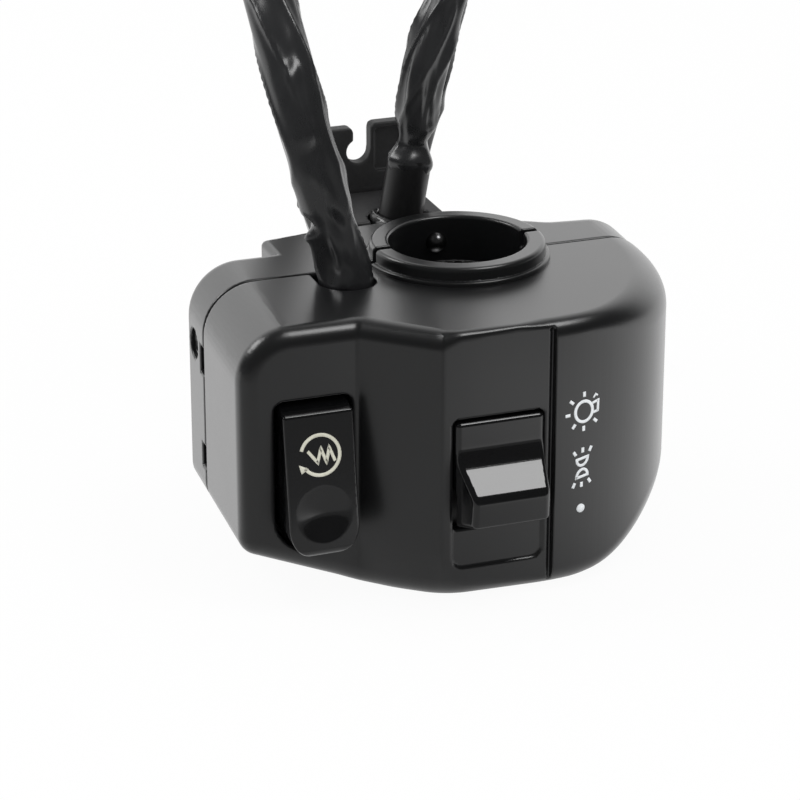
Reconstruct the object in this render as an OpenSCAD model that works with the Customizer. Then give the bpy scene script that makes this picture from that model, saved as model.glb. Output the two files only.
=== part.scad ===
// Handlebar switch cluster: a two-shell case that clamps on a handlebar, with a rocking
// start button, a three-step lighting slider, two sleeved leads and a forked cable bracket.
// Millimetres. The bore axis is Z, the parting seam lies in the plane Y = 0, the rider's
// side faces -Y, and the flat outboard end stands on Z = 0.

/* [Handlebar bore] */
// Outside diameter of the handlebar
bar_d = 22.2; // [21:0.1:23]
// Radial room between the bar and the bore
bar_gap = 0.1; // [0.05:0.05:0.15]
// Wall of the half tubes that hold the bar
tube_wall = 2.7; // [2.2:0.1:3]
// Length of the gripping land at the outboard end
low_land = 13; // [8:0.5:18]
// Length of the gripping land under the collar
top_land = 8; // [6:0.5:12]
// Depth of the relief between the two lands
relief = 0.9; // [0.4:0.1:1.4]
// Height of the collar over the inboard end
collar_h = 2.9; // [2:0.1:4]
// Wall of the collar
collar_wall = 3.1; // [2.4:0.1:3.6]
// Width of each slit in the collar at the seam
collar_slit = 1.2; // [0.6:0.1:2]
// Diameter of the locating pin in the bore
locator_d = 3.6; // [2.6:0.1:4.4]
// How far the locating pin stands into the bore
locator_reach = 1.7; // [1:0.1:2.4]

/* [Case] */
// Height of the case along the bar
case_h = 45.5; // [44:0.5:50]
// Distance from the bore axis to the left end at the seam
left_x = 43.2; // [43:0.2:48]
// Slant of the left end against the bar, in degrees
left_slant = 3; // [0:0.5:4]
// Distance from the bore axis to the right end
right_x = 33; // [31:0.5:36]
// Wall of both shells
wall = 2.4; // [2:0.1:2.8]
// Round along the outer edges
edge_r = 3; // [2:0.25:3.25]
// Corner round at the top of the left end
left_corner_r = 8.5; // [6:0.5:10]
// Corner round at the foot of the left end
low_corner_r = 3.5; // [3.3:0.1:4.5]
// Corner round at the top of the right end
right_top_r = 5.5; // [5:0.5:8]
// Corner round at the foot of the right end
right_foot_r = 10; // [8:0.5:10]
// Height of the round at the foot of the right end
right_foot_h = 18; // [12:0.5:20]
// Round along the foot of the slider's side
front_foot_r = 4.5; // [2.5:0.25:5]
// Height of the left end's foot above the flat end
slope_rise = 9; // [7:0.2:11]
// Distance from the bore axis to where the sloping foot ends
slope_end = 21.5; // [19:0.5:23]
// Gap between the two shells at the seam
seam_gap = 0.3; // [0.1:0.05:0.5]
// Distance from the seam to the face that holds the start button
left_face_y = 23.5; // [23:0.25:25]
// Distance from the seam to the slider panel
panel_y = 33; // [32.5:0.25:34]
// Distance from the bore axis to the panel's ridge
panel_left = 14.8; // [14.6:0.2:16]
// Distance from the bore axis to the panel's step
panel_right = 3.6; // [3.4:0.2:5]
// Height of the step beside the panel
panel_step = 0.7; // [0.4:0.1:1.2]
// Distance from the bore axis to the valley beside the button's face
valley_x = 24; // [23.5:0.25:25]
// Depth of the front shell beside the bar
back_y = 12.5; // [11:0.25:13]
// Depth of the front shell behind the bar
bulge_y = 20.7; // [20:0.25:22]
// Distance from the bore axis to the bulge's left end
bulge_left = 27.8; // [26:0.25:29]
// Distance from the bore axis to the bulge's right end
bulge_right = 11.3; // [10.5:0.25:12]

/* [Case screws] */
// Diameter of the case screws
screw_d = 4.8; // [4:0.1:5]
// Diameter of the case screws' heads
screw_head_d = 8; // [7:0.25:8.5]
// Height of the case screws' heads
screw_head_h = 3; // [2.4:0.1:3.4]
// Reach of the case screws into the rear shell
screw_reach = 9; // [7:0.5:9.5]
// Radial room round the case screws
screw_gap = 0.15; // [0.1:0.05:0.3]
// Wall of the screw bosses
boss_wall = 1.8; // [1.4:0.1:2.2]

/* [Start button] */
// Width of the start button
button_w = 11.4; // [10.5:0.1:11.8]
// Distance from the bore axis to the button's centre line
button_x = 32.3; // [32:0.1:33]
// Top edge of the button's face below the inboard end
button_top = 13.7; // [13:0.1:15]
// Centre of the button's round end above the flat end
button_foot = 14.5; // [14.4:0.1:15.5]
// How far the face stands proud at its top edge
proud_top = 1.7; // [1:0.1:2.2]
// How far the face stands proud at its round end
proud_foot = 4.9; // [4:0.1:6]
// Room round the button in its window
window_gap = 1.3; // [0.8:0.1:1.4]
// Diameter of the button's pivot pin
pivot_d = 2; // [1.6:0.1:2.4]
// Turn of the button when it is pressed, in degrees
press_angle = 5.6; // [3:0.2:5.6]

/* [Lighting slider] */
// Width of the slider knob
slider_w = 14.6; // [13.6:0.1:14.8]
// Centre line of the slider from the bore axis
slider_x = 5.5; // [5.3:0.1:5.8]
// Top edge of the slider over the middle of the case
slider_top = 8.05; // [7.25:0.1:9.25]
// Height of the knob's stem in its window
stem_h = 11.9; // [10:0.1:12.5]
// Reach of the thumb hump in front of the panel
hump_reach = 6.3; // [5:0.1:7]
// Radius of the hollow flare above the hump
flare_r = 5.1; // [4:0.1:5.1]
// Travel of the slider over its three steps
slider_travel = 6; // [4:0.5:6]
// Room round moving pieces
move_gap = 0.3; // [0.25:0.05:0.4]
// Thickness of the carrier behind the panel
carrier_t = 1.8; // [1.4:0.1:2]
// Diameter of the detent ball
ball_d = 2.4; // [2:0.1:2.6]

/* [Leads] */
// Outside diameter of the main lead's sleeve
main_d = 8.5; // [7.5:0.1:8.8]
// Outside diameter of the lamp lead's sleeve
lamp_d = 6; // [5.4:0.1:6.2]
// Outside diameter of the lamp lead's outlet tube
outlet_d = 7.4; // [7.2:0.1:8]
// Wall of the outlet tube
outlet_wall = 0.6; // [0.5:0.05:0.65]
// Height of the outlet tube over the inboard end
outlet_h = 10.2; // [8:0.2:12]
// Lean of the outlet tube to the right, in degrees
outlet_lean = 10; // [6:1:12]
// Diameter of each wire
wire_d = 1.6; // [1:0.1:1.8]

/* [Cable bracket] */
// Thickness of the bracket's arm
arm_t = 3.4; // [2.6:0.1:4]
// Distance from the seam to the back of the upright
fork_y = 41; // [38:0.5:44]
// Thickness of the upright
fork_t = 2.8; // [2.2:0.1:3.4]
// Height of the upright over the inboard end
fork_h = 11.2; // [9:0.2:14]
// Width of the slot in the upright
fork_slot = 4.2; // [4:0.1:5]
// Bottom of the slot over the inboard end
slot_foot = 4.3; // [3.5:0.1:6]
// Diameter of the bracket screws
bracket_screw_d = 3; // [2.5:0.1:3.4]

/* [Hidden] */
$fn = 48;
hull_fn = 32;
eps = 0.01;
far = 120;

bore_r = bar_d / 2 + bar_gap;
tube_r = bore_r + tube_wall;
collar_r = bore_r + collar_wall;
half_gap = seam_gap / 2;

// The sloping foot of the left end
slope_a = atan2(slope_rise, left_x - slope_end);

// Upright rounded posts that the rear shell's right-hand body is stretched over: x, y, radius
front_r = 20.5;
post_r = right_foot_r + 0.2;
front_post = [2, front_r - panel_y - panel_step, front_r];
side_post = [right_x - 4.1 - post_r, post_r - 26.3, post_r];
end_post = [right_x - post_r, 0, post_r];

// Heights above which the hollow may come nearer to the rounded end, with the room kept there
HOLLOW_STEPS = [[0, 6.5], [right_foot_h * 0.28, 4], [right_foot_h * 0.56, 2], [right_foot_h * 0.9, 0]];

// Slant of the ramp between the button's face and the panel's ridge
ramp_a = atan2(panel_y - left_face_y, valley_x - panel_left);

// Case screws: x and height
SCREWS = [[-33, 11.2], [19.5, 12], [19.5, case_h - 9.5]];
screw_r = screw_d / 2;
screw_hole_r = screw_r + screw_gap;
boss_r = screw_hole_r + boss_wall;
head_seat = back_y - screw_head_h - 0.6;

// Start button
face_in = left_face_y - wall;
window_r = button_w / 2 + window_gap;
button_edge = case_h - button_top;
window_top = button_edge + 2.8;
pivot_z = button_edge + 4.2;
pivot_y = -face_in + 2.7;
pivot_gap = 0.05;
button_back = -face_in + 1.5;
base_front = -14;
base_back = -11.5;
pad_z = button_foot;
pad_drop = (pivot_z - pad_z) * sin(press_angle);
contact_t = 0.5;
contact_h = 3;
pad_front = button_back + contact_t + pad_drop + move_gap;
tongue_foot = button_edge - 2;
spring_z = pad_z + contact_h + 0.45 * (tongue_foot - pad_z - contact_h);
tab_z = case_h - wall - 2.1;
small_screw_r = 1;
small_gap = 0.1;
small_boss_r = 2.1;

// Lighting slider
panel_in = panel_y - wall;
slider_edge = case_h / 2 + slider_top;
slot_top = slider_edge + move_gap;
slot_foot_z = slider_edge - stem_h - slider_travel - move_gap;
slot_half = slider_w / 2 + 0.2;
carrier_front = -panel_in + 0.4;
carrier_back = carrier_front + carrier_t;
carrier_half = slot_half + 0.7;
carrier_foot = slot_foot_z - 1;
carrier_top = slot_top + slider_travel + 0.5;
block_back = carrier_back + 2.8;
wiper_t = 0.5;
strip_t = 0.5;
light_base_front = block_back + wiper_t + move_gap + strip_t;
light_base_back = light_base_front + 2.8;
rail_in = carrier_half + move_gap;
rail_t = 1.2;
ear_x = 7.2;
EARS = [carrier_foot - slider_travel + 4.9, carrier_top - 1.1];
knob_z = slider_edge - stem_h;
ball_r = ball_d / 2;
ball_z = knob_z + 7;
block_right = 6.7;
light_terminals = [-3.4, 0, 3.4];

// Leads: the way of each sleeve from inside the case to its plug on the floor behind
MAIN_ROUTE = [
    [-20.5, -4.7, 38], [-20.7, -4.7, 45], [-22.4, -4.5, 53], [-24.5, -3.5, 62], [-26.5, -1, 71],
    [-27.5, 3, 79.5], [-28, 9, 87], [-27.5, 17, 92.5], [-26, 26.5, 96], [-24, 36.5, 96.5],
    [-21, 46, 94], [-17.5, 54, 88.5], [-14.5, 60, 81], [-11, 64, 72], [-8, 66, 62],
    [-5, 67, 52], [-2.5, 67.5, 42], [0, 68.5, 32.5], [3.5, 71, 24], [9, 74.5, 16.5],
    [15, 78.5, 10.5], [22, 82, 6.5], [30, 84, 4.8], [36, 84.5, 4.5], [41, 84.5, 4.5]
];
LAMP_ROUTE = [
    [-2.87, 22, 40], [-1.81, 22, 46], [-0.05, 22, 56], [1.5, 22, 62.5], [3.5, 22.3, 70.5], [6.5, 24.5, 78],
    [10.5, 29, 84.5], [15, 36, 88.5], [18.5, 44, 89.5], [21.5, 52, 87], [23.5, 58.5, 81.5],
    [23, 62.5, 74], [22, 64.5, 65.5], [20.5, 65.5, 57], [18.5, 66, 48.5], [16.5, 66.5, 40],
    [14.5, 66.5, 31.5], [13.5, 65.5, 23.5], [14.5, 62.5, 16], [18.5, 58.5, 9.5],
    [23, 55.5, 5.2], [28.5, 53.5, 3.7], [33, 52.5, 3.6], [37, 52.5, 3.6]
];
main_x = MAIN_ROUTE[0][0];
main_y = MAIN_ROUTE[0][1];
notch_r = main_d / 2 + 0.35;
grommet_r = main_d / 2 + 1.3;
grommet_foot = case_h - 8;
outlet_x = -1.9;
outlet_y = 22;
outlet_r = outlet_d / 2;
outlet_seat = 7;
channel_r = 3;
channel_drop = outlet_seat + channel_r + 0.2;
channel_x = outlet_x - channel_drop * tan(outlet_lean);
channel_z = case_h - channel_drop;
boss_o_r = outlet_r + 1.3;
main_plug = MAIN_ROUTE[len(MAIN_ROUTE) - 1];
lamp_plug = LAMP_ROUTE[len(LAMP_ROUTE) - 1];

// Cable bracket
arm_top = case_h;
arm_foot = case_h - arm_t;
arm_left = -14;
arm_right = 6;
slot_x = -3.6;
slot_lip = 0.8;
shelf_t = 5.5;
BRACKET_SCREWS = [[arm_left + 3.4, outlet_y + 8], [arm_right - 5.2, outlet_y + 8.5]];
bracket_screw_r = bracket_screw_d / 2;

// Points on an arc; angles are counted from +X
function arc(cx, cy, r, a0, a1, n) =
    [for (i = [0:n]) let (a = a0 + (a1 - a0) * i / n) [cx + r * cos(a), cy + r * sin(a)]];

// Outline of the case seen along Y, moved inwards by d
function case_outline(d) =
    let (
        tl = max(left_corner_r - d, 0.5),
        bl = max(low_corner_r - d, 0.5),
        rt = max(right_top_r - d, 0.5),
        rf = max(right_foot_r - d, 0.5)
    )
    concat(
        arc(-left_x + left_corner_r, case_h - left_corner_r, tl, 90, 180, 8),
        arc(-left_x + low_corner_r, corner_z(), bl, 180, 270 - slope_a, 5),
        arc(foot_x(), low_corner_r, bl, 270 - slope_a, 270, 3),
        [for (t = [-90:9:0])
            [right_x - right_foot_r + rf * cos(t), right_foot_h + (right_foot_h - d) * sin(t)]],
        arc(right_x - right_top_r, case_h - right_top_r, rt, 0, 90, 8)
    );

// Height of the centre of the left end's lower corner
function corner_z() = slope_rise + low_corner_r * (1 - sin(slope_a)) / cos(slope_a);

// Centre of the corner where the sloping foot runs into the flat end
function foot_x() = -slope_end + low_corner_r * tan(slope_a / 2);

// Angle, from -Y, at which the front post's face runs over into the side post's
function post_turn() =
    let (dx = side_post[0] - front_post[0], dy = side_post[1] - front_post[1])
    90 + atan2(dy, dx) - acos((front_post[2] - side_post[2]) / norm([dx, dy]));

// Angle, from -Y, at which the side post's face runs over into the end post's
function end_turn() = atan2(end_post[1] - side_post[1], end_post[0] - side_post[0]);

// Points round a post; angles are counted from -Y towards +X
function round_post(post, d, t0, t1, n) =
    [for (i = [0:n]) let (t = t0 + (t1 - t0) * i / n, r = post[2] - d)
        [post[0] + r * sin(t), post[1] - r * cos(t)]];

// Plan of the rear shell's hollow, a wall d inside the outer faces and e more at the rounded end
function hollow_plan(d, e) =
    let (shift = d * (1 - cos(ramp_a)) / sin(ramp_a))
    concat(
        [[-left_x + d, 0], [-left_x + d, d - left_face_y]],
        [[shift - valley_x, d - left_face_y], [shift - panel_left, d - panel_y]],
        [[panel_right + 1, d - panel_y]],
        round_post(front_post, d, 14, post_turn(), 5),
        round_post(side_post, d + e, post_turn(), end_turn(), 6),
        round_post(end_post, d + e, end_turn(), 90, 4)
    );

// A flat shape drawn in X and Z, given a depth along Y
module along_y(y0, y1) translate([0, y1, 0]) rotate([90, 0, 0]) linear_extrude(y1 - y0) children();

// A flat shape drawn in Y and Z, given a length along X
module along_x(x0, x1) translate([x0, 0, 0]) rotate([90, 0, 90]) linear_extrude(x1 - x0) children();

// A round bar along Y
module bar_y(x, z, r, y0, y1) translate([x, y1, z]) rotate([90, 0, 0]) cylinder(r = r, h = y1 - y0);

// A round bar along X
module bar_x(y, z, r, x0, x1) translate([x0, y, z]) rotate([0, 90, 0]) cylinder(r = r, h = x1 - x0);

module block(low, high) translate(low) cube(high - low);

// An upright post with rounded ends
module post(p, foot_r, foot_h, top_r, z0, z1)
    translate([p[0], p[1], 0])
        rotate_extrude($fn = hull_fn)
            polygon(concat(
                [[0, z0]],
                [for (t = [-90:15:0]) [p[2] - foot_r + foot_r * cos(t), z0 + foot_h * (1 + sin(t))]],
                arc(p[2] - top_r, z1 - top_r, top_r, 0, 90, 5),
                [[0, z1]]
            ));

// A corner of the case, as a short round bar from the seam with a rounded far end
module corner(x, z, r, depth, side)
    translate([x, 0, z])
        rotate([side * -90, 0, 0])
            rotate_extrude($fn = hull_fn)
                polygon(concat(
                    [[0, -1], [r, -1]],
                    arc(r - edge_r, depth - edge_r, edge_r, 0, 90, 5),
                    [[0, depth]]
                ));

// The corner where the sloping foot ends
module foot_corner(depth, side)
    corner(foot_x(), low_corner_r + 0.2, low_corner_r, depth, side);

// The two corners where the left block meets the right-hand body
module inner_corners(depth, side) {
    foot_corner(depth, side);
    corner(-slope_end + 1.4, case_h - low_corner_r, low_corner_r, depth, side);
}

// The two corners of the left end
module left_corners(depth, side)
    multmatrix([[1, tan(left_slant), 0, 0], [0, 1, 0, 0], [0, 0, 1, 0]]) {
        corner(-left_x + left_corner_r, case_h - left_corner_r, left_corner_r, depth, side);
        corner(-left_x + low_corner_r, corner_z(), low_corner_r, depth, side);
    }

// A slim post with an upright round, for the panel's ridge
module ridge_post(x, y, z0, z1)
    translate([x + 1, y + 0.6, 0])
        rotate_extrude($fn = 20)
            polygon(concat(
                [[0, z0]],
                [for (t = [-75:15:0]) [0.8 * cos(t), z0 + edge_r * (1 + sin(t))]],
                [for (t = [0:15:75]) [0.8 * cos(t), z1 - edge_r * (1 - sin(t))]],
                [[0, z1]]
            ));

module rear_form() {
    hull() {
        left_corners(left_face_y, -1);
        inner_corners(left_face_y, -1);
    }
    hull() {
        post(front_post, front_foot_r, front_foot_r - 0.5, edge_r, 0, case_h);
        post(side_post, right_foot_r, right_foot_h - 5, edge_r + 0.2, 0, case_h);
        post(end_post, right_foot_r, right_foot_h, right_top_r, 0, case_h);
        ridge_post(-panel_left, -panel_y, front_foot_r - 1, case_h);
        translate([-valley_x - 3, -left_face_y + 4.1, 2.3])
            cylinder(r = 1, h = case_h - 8.3, $fn = hull_fn);
        inner_corners(edge_r + 1, -1);
    }
}

module front_form() {
    hull() {
        left_corners(back_y, 1);
        foot_corner(back_y, 1);
        corner(right_x - right_top_r, case_h - right_top_r, right_top_r, back_y, 1);
        translate([0, 0, right_foot_h]) scale([1, 1, right_foot_h / right_foot_r])
            corner(right_x - right_foot_r, 0, right_foot_r, back_y, 1);
    }
    hull() {
        for (p = [[-bulge_left + 3, bulge_y - 5.2, 3], [-19, bulge_y - 4.1, 3],
                [bulge_right - 3, bulge_y - 3, 3], [-bulge_left + 3, 6, 3], [bulge_right - 3, 6, 3]])
            post(p, 2, 2, 1, 2, case_h);
    }
}

// The bar's bore with its two lands and the relief between them
module bore_cut() {
    translate([0, 0, -1]) cylinder(r = bore_r, h = case_h + collar_h + 2);
    translate([0, 0, low_land]) cylinder(r = bore_r + relief, h = case_h + collar_h - low_land - top_land);
}

// The collar round the bore, with a bead at its foot
module collar()
    rotate_extrude()
        polygon(concat(
            [[bore_r, case_h - 1], [collar_r + 0.5, case_h - 1], [collar_r + 0.5, case_h + 0.5]],
            [[collar_r, case_h + 0.9]],
            arc(collar_r - 0.8, case_h + collar_h - 0.8, 0.8, 0, 90, 4),
            [[bore_r, case_h + collar_h]]
        ));

module seam_half(side)
    translate([-far / 2, side > 0 ? half_gap : -far - half_gap, -1]) cube([far, far, far]);

// Hollow of the rear shell
module rear_hollow()
    difference() {
        intersection() {
            along_y(-panel_y, 1) polygon(case_outline(wall));
            for (k = HOLLOW_STEPS)
                translate([0, 0, k[0]]) linear_extrude(case_h - k[0]) polygon(hollow_plan(wall, k[1]));
        }
        cylinder(r = tube_r, h = case_h);
    }

// Hollow of the front shell
module front_hollow()
    difference() {
        union() {
            along_y(-1, back_y - wall) polygon(case_outline(wall));
            block([-bulge_left + wall, 0, 2 + wall], [0, bulge_y - wall - 2.2, case_h - wall]);
            block([-12, 0, 2 + wall], [bulge_right - wall, bulge_y - wall - 0.7, case_h - wall]);
        }
        translate([0, 0, -1]) cylinder(r = tube_r, h = case_h + 2);
    }

// Webs that tie the right-hand screw bosses to the bar's tube
module screw_webs(y0, y1)
    for (s = [SCREWS[1], SCREWS[2]])
        block([tube_r - 1.5, y0, s[1] - 1], [s[0] - screw_r - 0.6, y1, s[1] + 1]);

// Window of the start button
module button_window() {
    along_y(-left_face_y - 6, -face_in + eps) {
        translate([-button_x, button_foot]) circle(window_r);
        translate([-button_x - window_r, button_foot]) square([2 * window_r, window_top - button_foot]);
    }
}

// Window of the slider, the panel's flat and the thumb scoop below the window
module slider_window() {
    block([-panel_left - 2, -panel_y - 6, -1], [panel_right, -panel_y, case_h + 1]);
    block([-slider_x - slot_half, -panel_y - 1, slot_foot_z],
        [-slider_x + slot_half, -panel_in + eps, slot_top]);
    along_x(-slider_x - slot_half, -slider_x + slot_half)
        polygon([[-panel_y - 1, slot_foot_z - 6.6], [-panel_y, slot_foot_z - 6.6],
            [-panel_y + 1.6, slot_foot_z + 0.1], [-panel_y - 1, slot_foot_z + 0.1]]);
}

// Notch where the main lead leaves the seam
module lead_notch()
    translate([0, 0, grommet_foot - 1])
        linear_extrude(case_h) {
            translate([main_x, main_y]) circle(notch_r);
            translate([main_x - notch_r, main_y]) square([2 * notch_r, far]);
        }

module rear_shell()
    color([0.05, 0.05, 0.055])
        intersection() {
            seam_half(-1);
            difference() {
                union() {
                    difference() {
                        rear_form();
                        rear_hollow();
                    }
                    intersection() {
                        cylinder(r = tube_r, h = case_h - 1);
                        translate([-far / 2, -far, 0]) cube([far, far, case_h]);
                    }
                    collar();
                    for (s = SCREWS) bar_y(s[0], s[1], boss_r, -screw_reach - 0.8, 0);
                    screw_webs(-screw_reach, 0);
                    bar_y(-button_x, tab_z, small_boss_r, -face_in - 0.5, base_front);
                    for (z = EARS) bar_y(ear_x, z, small_boss_r, -panel_in, light_base_front);
                    translate([main_x, main_y, grommet_foot])
                        cylinder(r = grommet_r + 1.4, h = case_h - grommet_foot - 1);
                }
                bore_cut();
                button_window();
                slider_window();
                lead_notch();
                translate([main_x, main_y, grommet_foot - 1])
                    cylinder(r = grommet_r + 0.1, h = case_h - wall - grommet_foot + 1);
                for (s = SCREWS) bar_y(s[0], s[1], screw_hole_r, -screw_reach - 1, 1);
                bar_y(-button_x, tab_z, small_screw_r + small_gap, -face_in + 1, base_front + 1);
                for (z = EARS)
                    bar_y(ear_x, z, small_screw_r + small_gap, light_base_front - 5, light_base_front + 1);
                block([-tube_r - 3, -collar_slit / 2, case_h + eps],
                    [tube_r + 3, 1, case_h + collar_h + 1]);
            }
        }

// Marks on the left end of the front shell: a round recess and two notches at the seam
module left_marks() {
    bar_x(6.5, case_h - 12, 2.5, -left_x - 1, -left_x + 1.4);
    for (z = [[case_h - 15.3, case_h - 10.7], [13.9, 17.8]])
        block([-left_x - 1, -1, z[0]], [-left_x + 1.2, half_gap + 2.2, z[1]]);
}

module outlet_axis() translate([outlet_x, outlet_y, case_h]) rotate([0, outlet_lean, 0]) children();

module front_shell()
    color([0.055, 0.055, 0.06])
        intersection() {
            seam_half(1);
            difference() {
                union() {
                    difference() {
                        front_form();
                        front_hollow();
                    }
                    intersection() {
                        cylinder(r = tube_r, h = case_h - 1);
                        translate([-far / 2, 0, 0]) cube([far, far, case_h]);
                    }
                    collar();
                    for (s = SCREWS) bar_y(s[0], s[1], screw_head_d / 2 + 1.2, 0, back_y - 1);
                    block([arm_left, bulge_y - 4, arm_foot - shelf_t], [arm_right - 1, 34, arm_foot]);
                    outlet_axis() translate([0, 0, -channel_drop - channel_r - 1])
                        cylinder(r = boss_o_r, h = channel_drop + channel_r + 1);
                }
                bore_cut();
                left_marks();
                for (s = SCREWS) {
                    bar_y(s[0], s[1], screw_hole_r, -1, back_y + 1);
                    bar_y(s[0], s[1], screw_head_d / 2 + 0.3, head_seat, back_y + 12);
                }
                bar_y(0.5, case_h - 1.5, locator_d / 2 + pivot_gap, 0, tube_r + 0.4);
                outlet_axis() {
                    translate([0, 0, -outlet_seat]) cylinder(r = outlet_r + pivot_gap, h = outlet_seat + 5);
                    translate([0, 0, -channel_drop]) cylinder(r = outlet_r - outlet_wall, h = outlet_seat);
                }
                bar_y(channel_x, channel_z, channel_r, tube_r + 0.6, outlet_y + channel_r);
                for (s = BRACKET_SCREWS)
                    translate([s[0], s[1], 0]) cylinder(r = bracket_screw_r + small_gap, h = case_h + 1);
                block([-tube_r - 3, -1, case_h + eps],
                    [tube_r + 3, collar_slit / 2, case_h + collar_h + 1]);
            }
        }

module case_screws()
    color([0.55, 0.55, 0.57])
        for (s = SCREWS)
            difference() {
                union() {
                    bar_y(s[0], s[1], screw_r, -screw_reach, head_seat);
                    bar_y(s[0], s[1], screw_head_d / 2, head_seat, head_seat + screw_head_h);
                }
                for (a = [0, 90])
                    translate([s[0], head_seat + screw_head_h, s[1]])
                        rotate([0, a, 0]) cube([4.6, 3, 1], center = true);
            }

module locating_pin()
    color([0.2, 0.2, 0.21]) {
        bar_y(0.5, case_h - 1.5, locator_d / 2, bore_r - locator_reach + locator_d / 2, tube_r + 0.2);
        translate([0.5, bore_r - locator_reach + locator_d / 2, case_h - 1.5]) sphere(locator_d / 2);
    }

// One prong of the upright, with a rounded top
module prong(x0, x1, h)
    translate([0, case_h]) {
        translate([x0, 0]) square([x1 - x0, h - 1.2]);
        translate([x0 + 1.2, 0]) square([x1 - x0 - 2.4, h]);
        for (x = [x0 + 1.2, x1 - 1.2]) translate([x, h - 1.2]) circle(1.2);
    }

// Outline of the forked upright, seen along Y: a round seat for the cable under a narrower mouth
module fork_outline()
    difference() {
        union() {
            translate([arm_left, arm_foot])
                square([arm_right - arm_left, arm_t + slot_foot + fork_slot / 2]);
            prong(arm_left + 4, slot_x - slot_lip, fork_h - 0.5);
            prong(slot_x + fork_slot / 2, arm_right - 0.5, fork_h);
        }
        translate([slot_x, case_h + slot_foot + fork_slot / 2]) {
            circle(fork_slot / 2);
            translate([-slot_lip, 0]) square([slot_lip + fork_slot / 2, fork_h]);
        }
    }

module cable_bracket()
    color([0.18, 0.18, 0.185])
        difference() {
            union() {
                block([arm_left, bulge_y - 0.4, arm_foot], [arm_right, fork_y, arm_top - 0.2]);
                along_y(fork_y - fork_t, fork_y) fork_outline();
            }
            // The bulge of the case and the boss of the outlet tube
            block([-far, 0, 0], [far, bulge_y + 0.3, far]);
            outlet_axis() translate([0, 0, -outlet_seat - 3]) cylinder(r = boss_o_r + 0.3, h = 20);
            // The groove at the foot of the upright
            block([arm_left + 1.5, fork_y - fork_t - 2, arm_top - 1.8],
                [arm_right - 1.5, fork_y - fork_t, arm_top + 2]);
            // The recessed panel in the right-hand prong
            block([slot_x + fork_slot / 2 + 0.8, fork_y - fork_t - 1, case_h + 2.6],
                [arm_right - 1.4, fork_y - fork_t + 0.8, case_h + fork_h - 0.9]);
            for (s = BRACKET_SCREWS)
                translate([s[0], s[1], 0]) cylinder(r = bracket_screw_r + small_gap, h = arm_top - 1);
        }

module bracket_screws()
    color([0.55, 0.55, 0.57])
        for (s = BRACKET_SCREWS)
            translate([s[0], s[1], arm_foot - shelf_t - 2]) {
                cylinder(r = bracket_screw_d, h = 2);
                cylinder(r = bracket_screw_r, h = shelf_t + arm_t);
            }

module outlet_tube()
    color([0.08, 0.08, 0.085])
        outlet_axis()
            translate([0, 0, -outlet_seat + 0.05])
                difference() {
                    cylinder(r = outlet_r, h = outlet_seat + outlet_h);
                    translate([0, 0, -1])
                        cylinder(r = outlet_r - outlet_wall, h = outlet_seat + outlet_h + 2);
                }

// Section of the start button along the middle, in Y and Z
module button_section() {
    top_y = -left_face_y - proud_top;
    foot_y = -left_face_y - proud_foot;
    foot_z = button_foot - button_w / 2;
    polygon(concat(
        [[button_back, foot_z], [button_back, button_edge + 2.4], [-face_in - 1, button_edge + 2]],
        arc(top_y + 1.2, button_edge - 1.1, 1.2, 110, 172, 3),
        arc(foot_y + 2, foot_z + 2.6, 2, 188, 262, 4),
        [[-left_face_y, foot_z]]
    ));
}

module start_button()
    color([0.04, 0.04, 0.045])
        difference() {
            union() {
                intersection() {
                    along_x(-button_x - button_w / 2, -button_x + button_w / 2) button_section();
                    along_y(-far, 0) {
                        translate([-button_x, button_foot]) circle(button_w / 2);
                        translate([-button_x - button_w / 2, button_foot]) square([button_w, far]);
                    }
                }
                // Tongue and eye round the pivot
                block([-button_x - button_w / 2, move_gap - face_in, tongue_foot],
                    [-button_x + button_w / 2, pivot_y + pivot_d / 2, pivot_z]);
                bar_x(pivot_y, pivot_z, pivot_d / 2 + 1.2,
                    -button_x - button_w / 2, -button_x + button_w / 2);
                // Side stops behind the wall
                block([-button_x - window_r - 0.8, button_back - 0.9, button_foot + 4],
                    [-button_x + window_r + 0.8, button_back, button_edge - 4]);
            }
            bar_x(pivot_y, pivot_z, pivot_d / 2 + pivot_gap, -far, 0);
            // Finger dimple
            translate([-button_x, -left_face_y - proud_foot - 7.35, button_foot + 3.3]) sphere(9);
        }

module start_pivot_pin()
    color([0.72, 0.72, 0.74]) bar_x(pivot_y, pivot_z, pivot_d / 2, -button_x - 8, -button_x + 8);

module start_base()
    color([0.35, 0.22, 0.12])
        difference() {
            union() {
                block([-button_x - 7.8, base_front, pad_z - 2],
                    [-button_x + 7.8, base_back, pivot_z + 2.4]);
                block([-button_x - 2.6, base_front, pivot_z],
                    [-button_x + 2.6, base_back, tab_z + 1.6]);
                for (side = [-1, 1])
                    translate([-button_x + side * 7.05, 0, 0])
                        block([-0.75, pivot_y - pivot_d, pivot_z - 2.2],
                            [0.75, base_front + 1, pivot_z + 2.2]);
            }
            bar_x(pivot_y, pivot_z, pivot_d / 2 + pivot_gap, -far, 0);
            bar_y(-button_x, tab_z, small_screw_r + small_gap, base_front - 1, base_back + 1);
            for (x = [-3.2, 3.2]) bar_y(-button_x + x, pad_z + 1.5, 1.3, base_front - 1, base_back + 1);
        }

module start_terminals()
    color([0.8, 0.62, 0.3])
        for (x = [-3.2, 3.2]) {
            bar_y(-button_x + x, pad_z + 1.5, 1.2, pad_front, base_back + 1.2);
            bar_y(-button_x + x, pad_z + 1.5, 2, base_back, base_back + 0.6);
        }

module start_base_screw()
    color([0.6, 0.6, 0.62]) {
        bar_y(-button_x, tab_z, small_screw_r, -face_in + 1.5, base_back);
        bar_y(-button_x, tab_z, 1.9, base_back, base_back + 1.3);
    }

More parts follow.
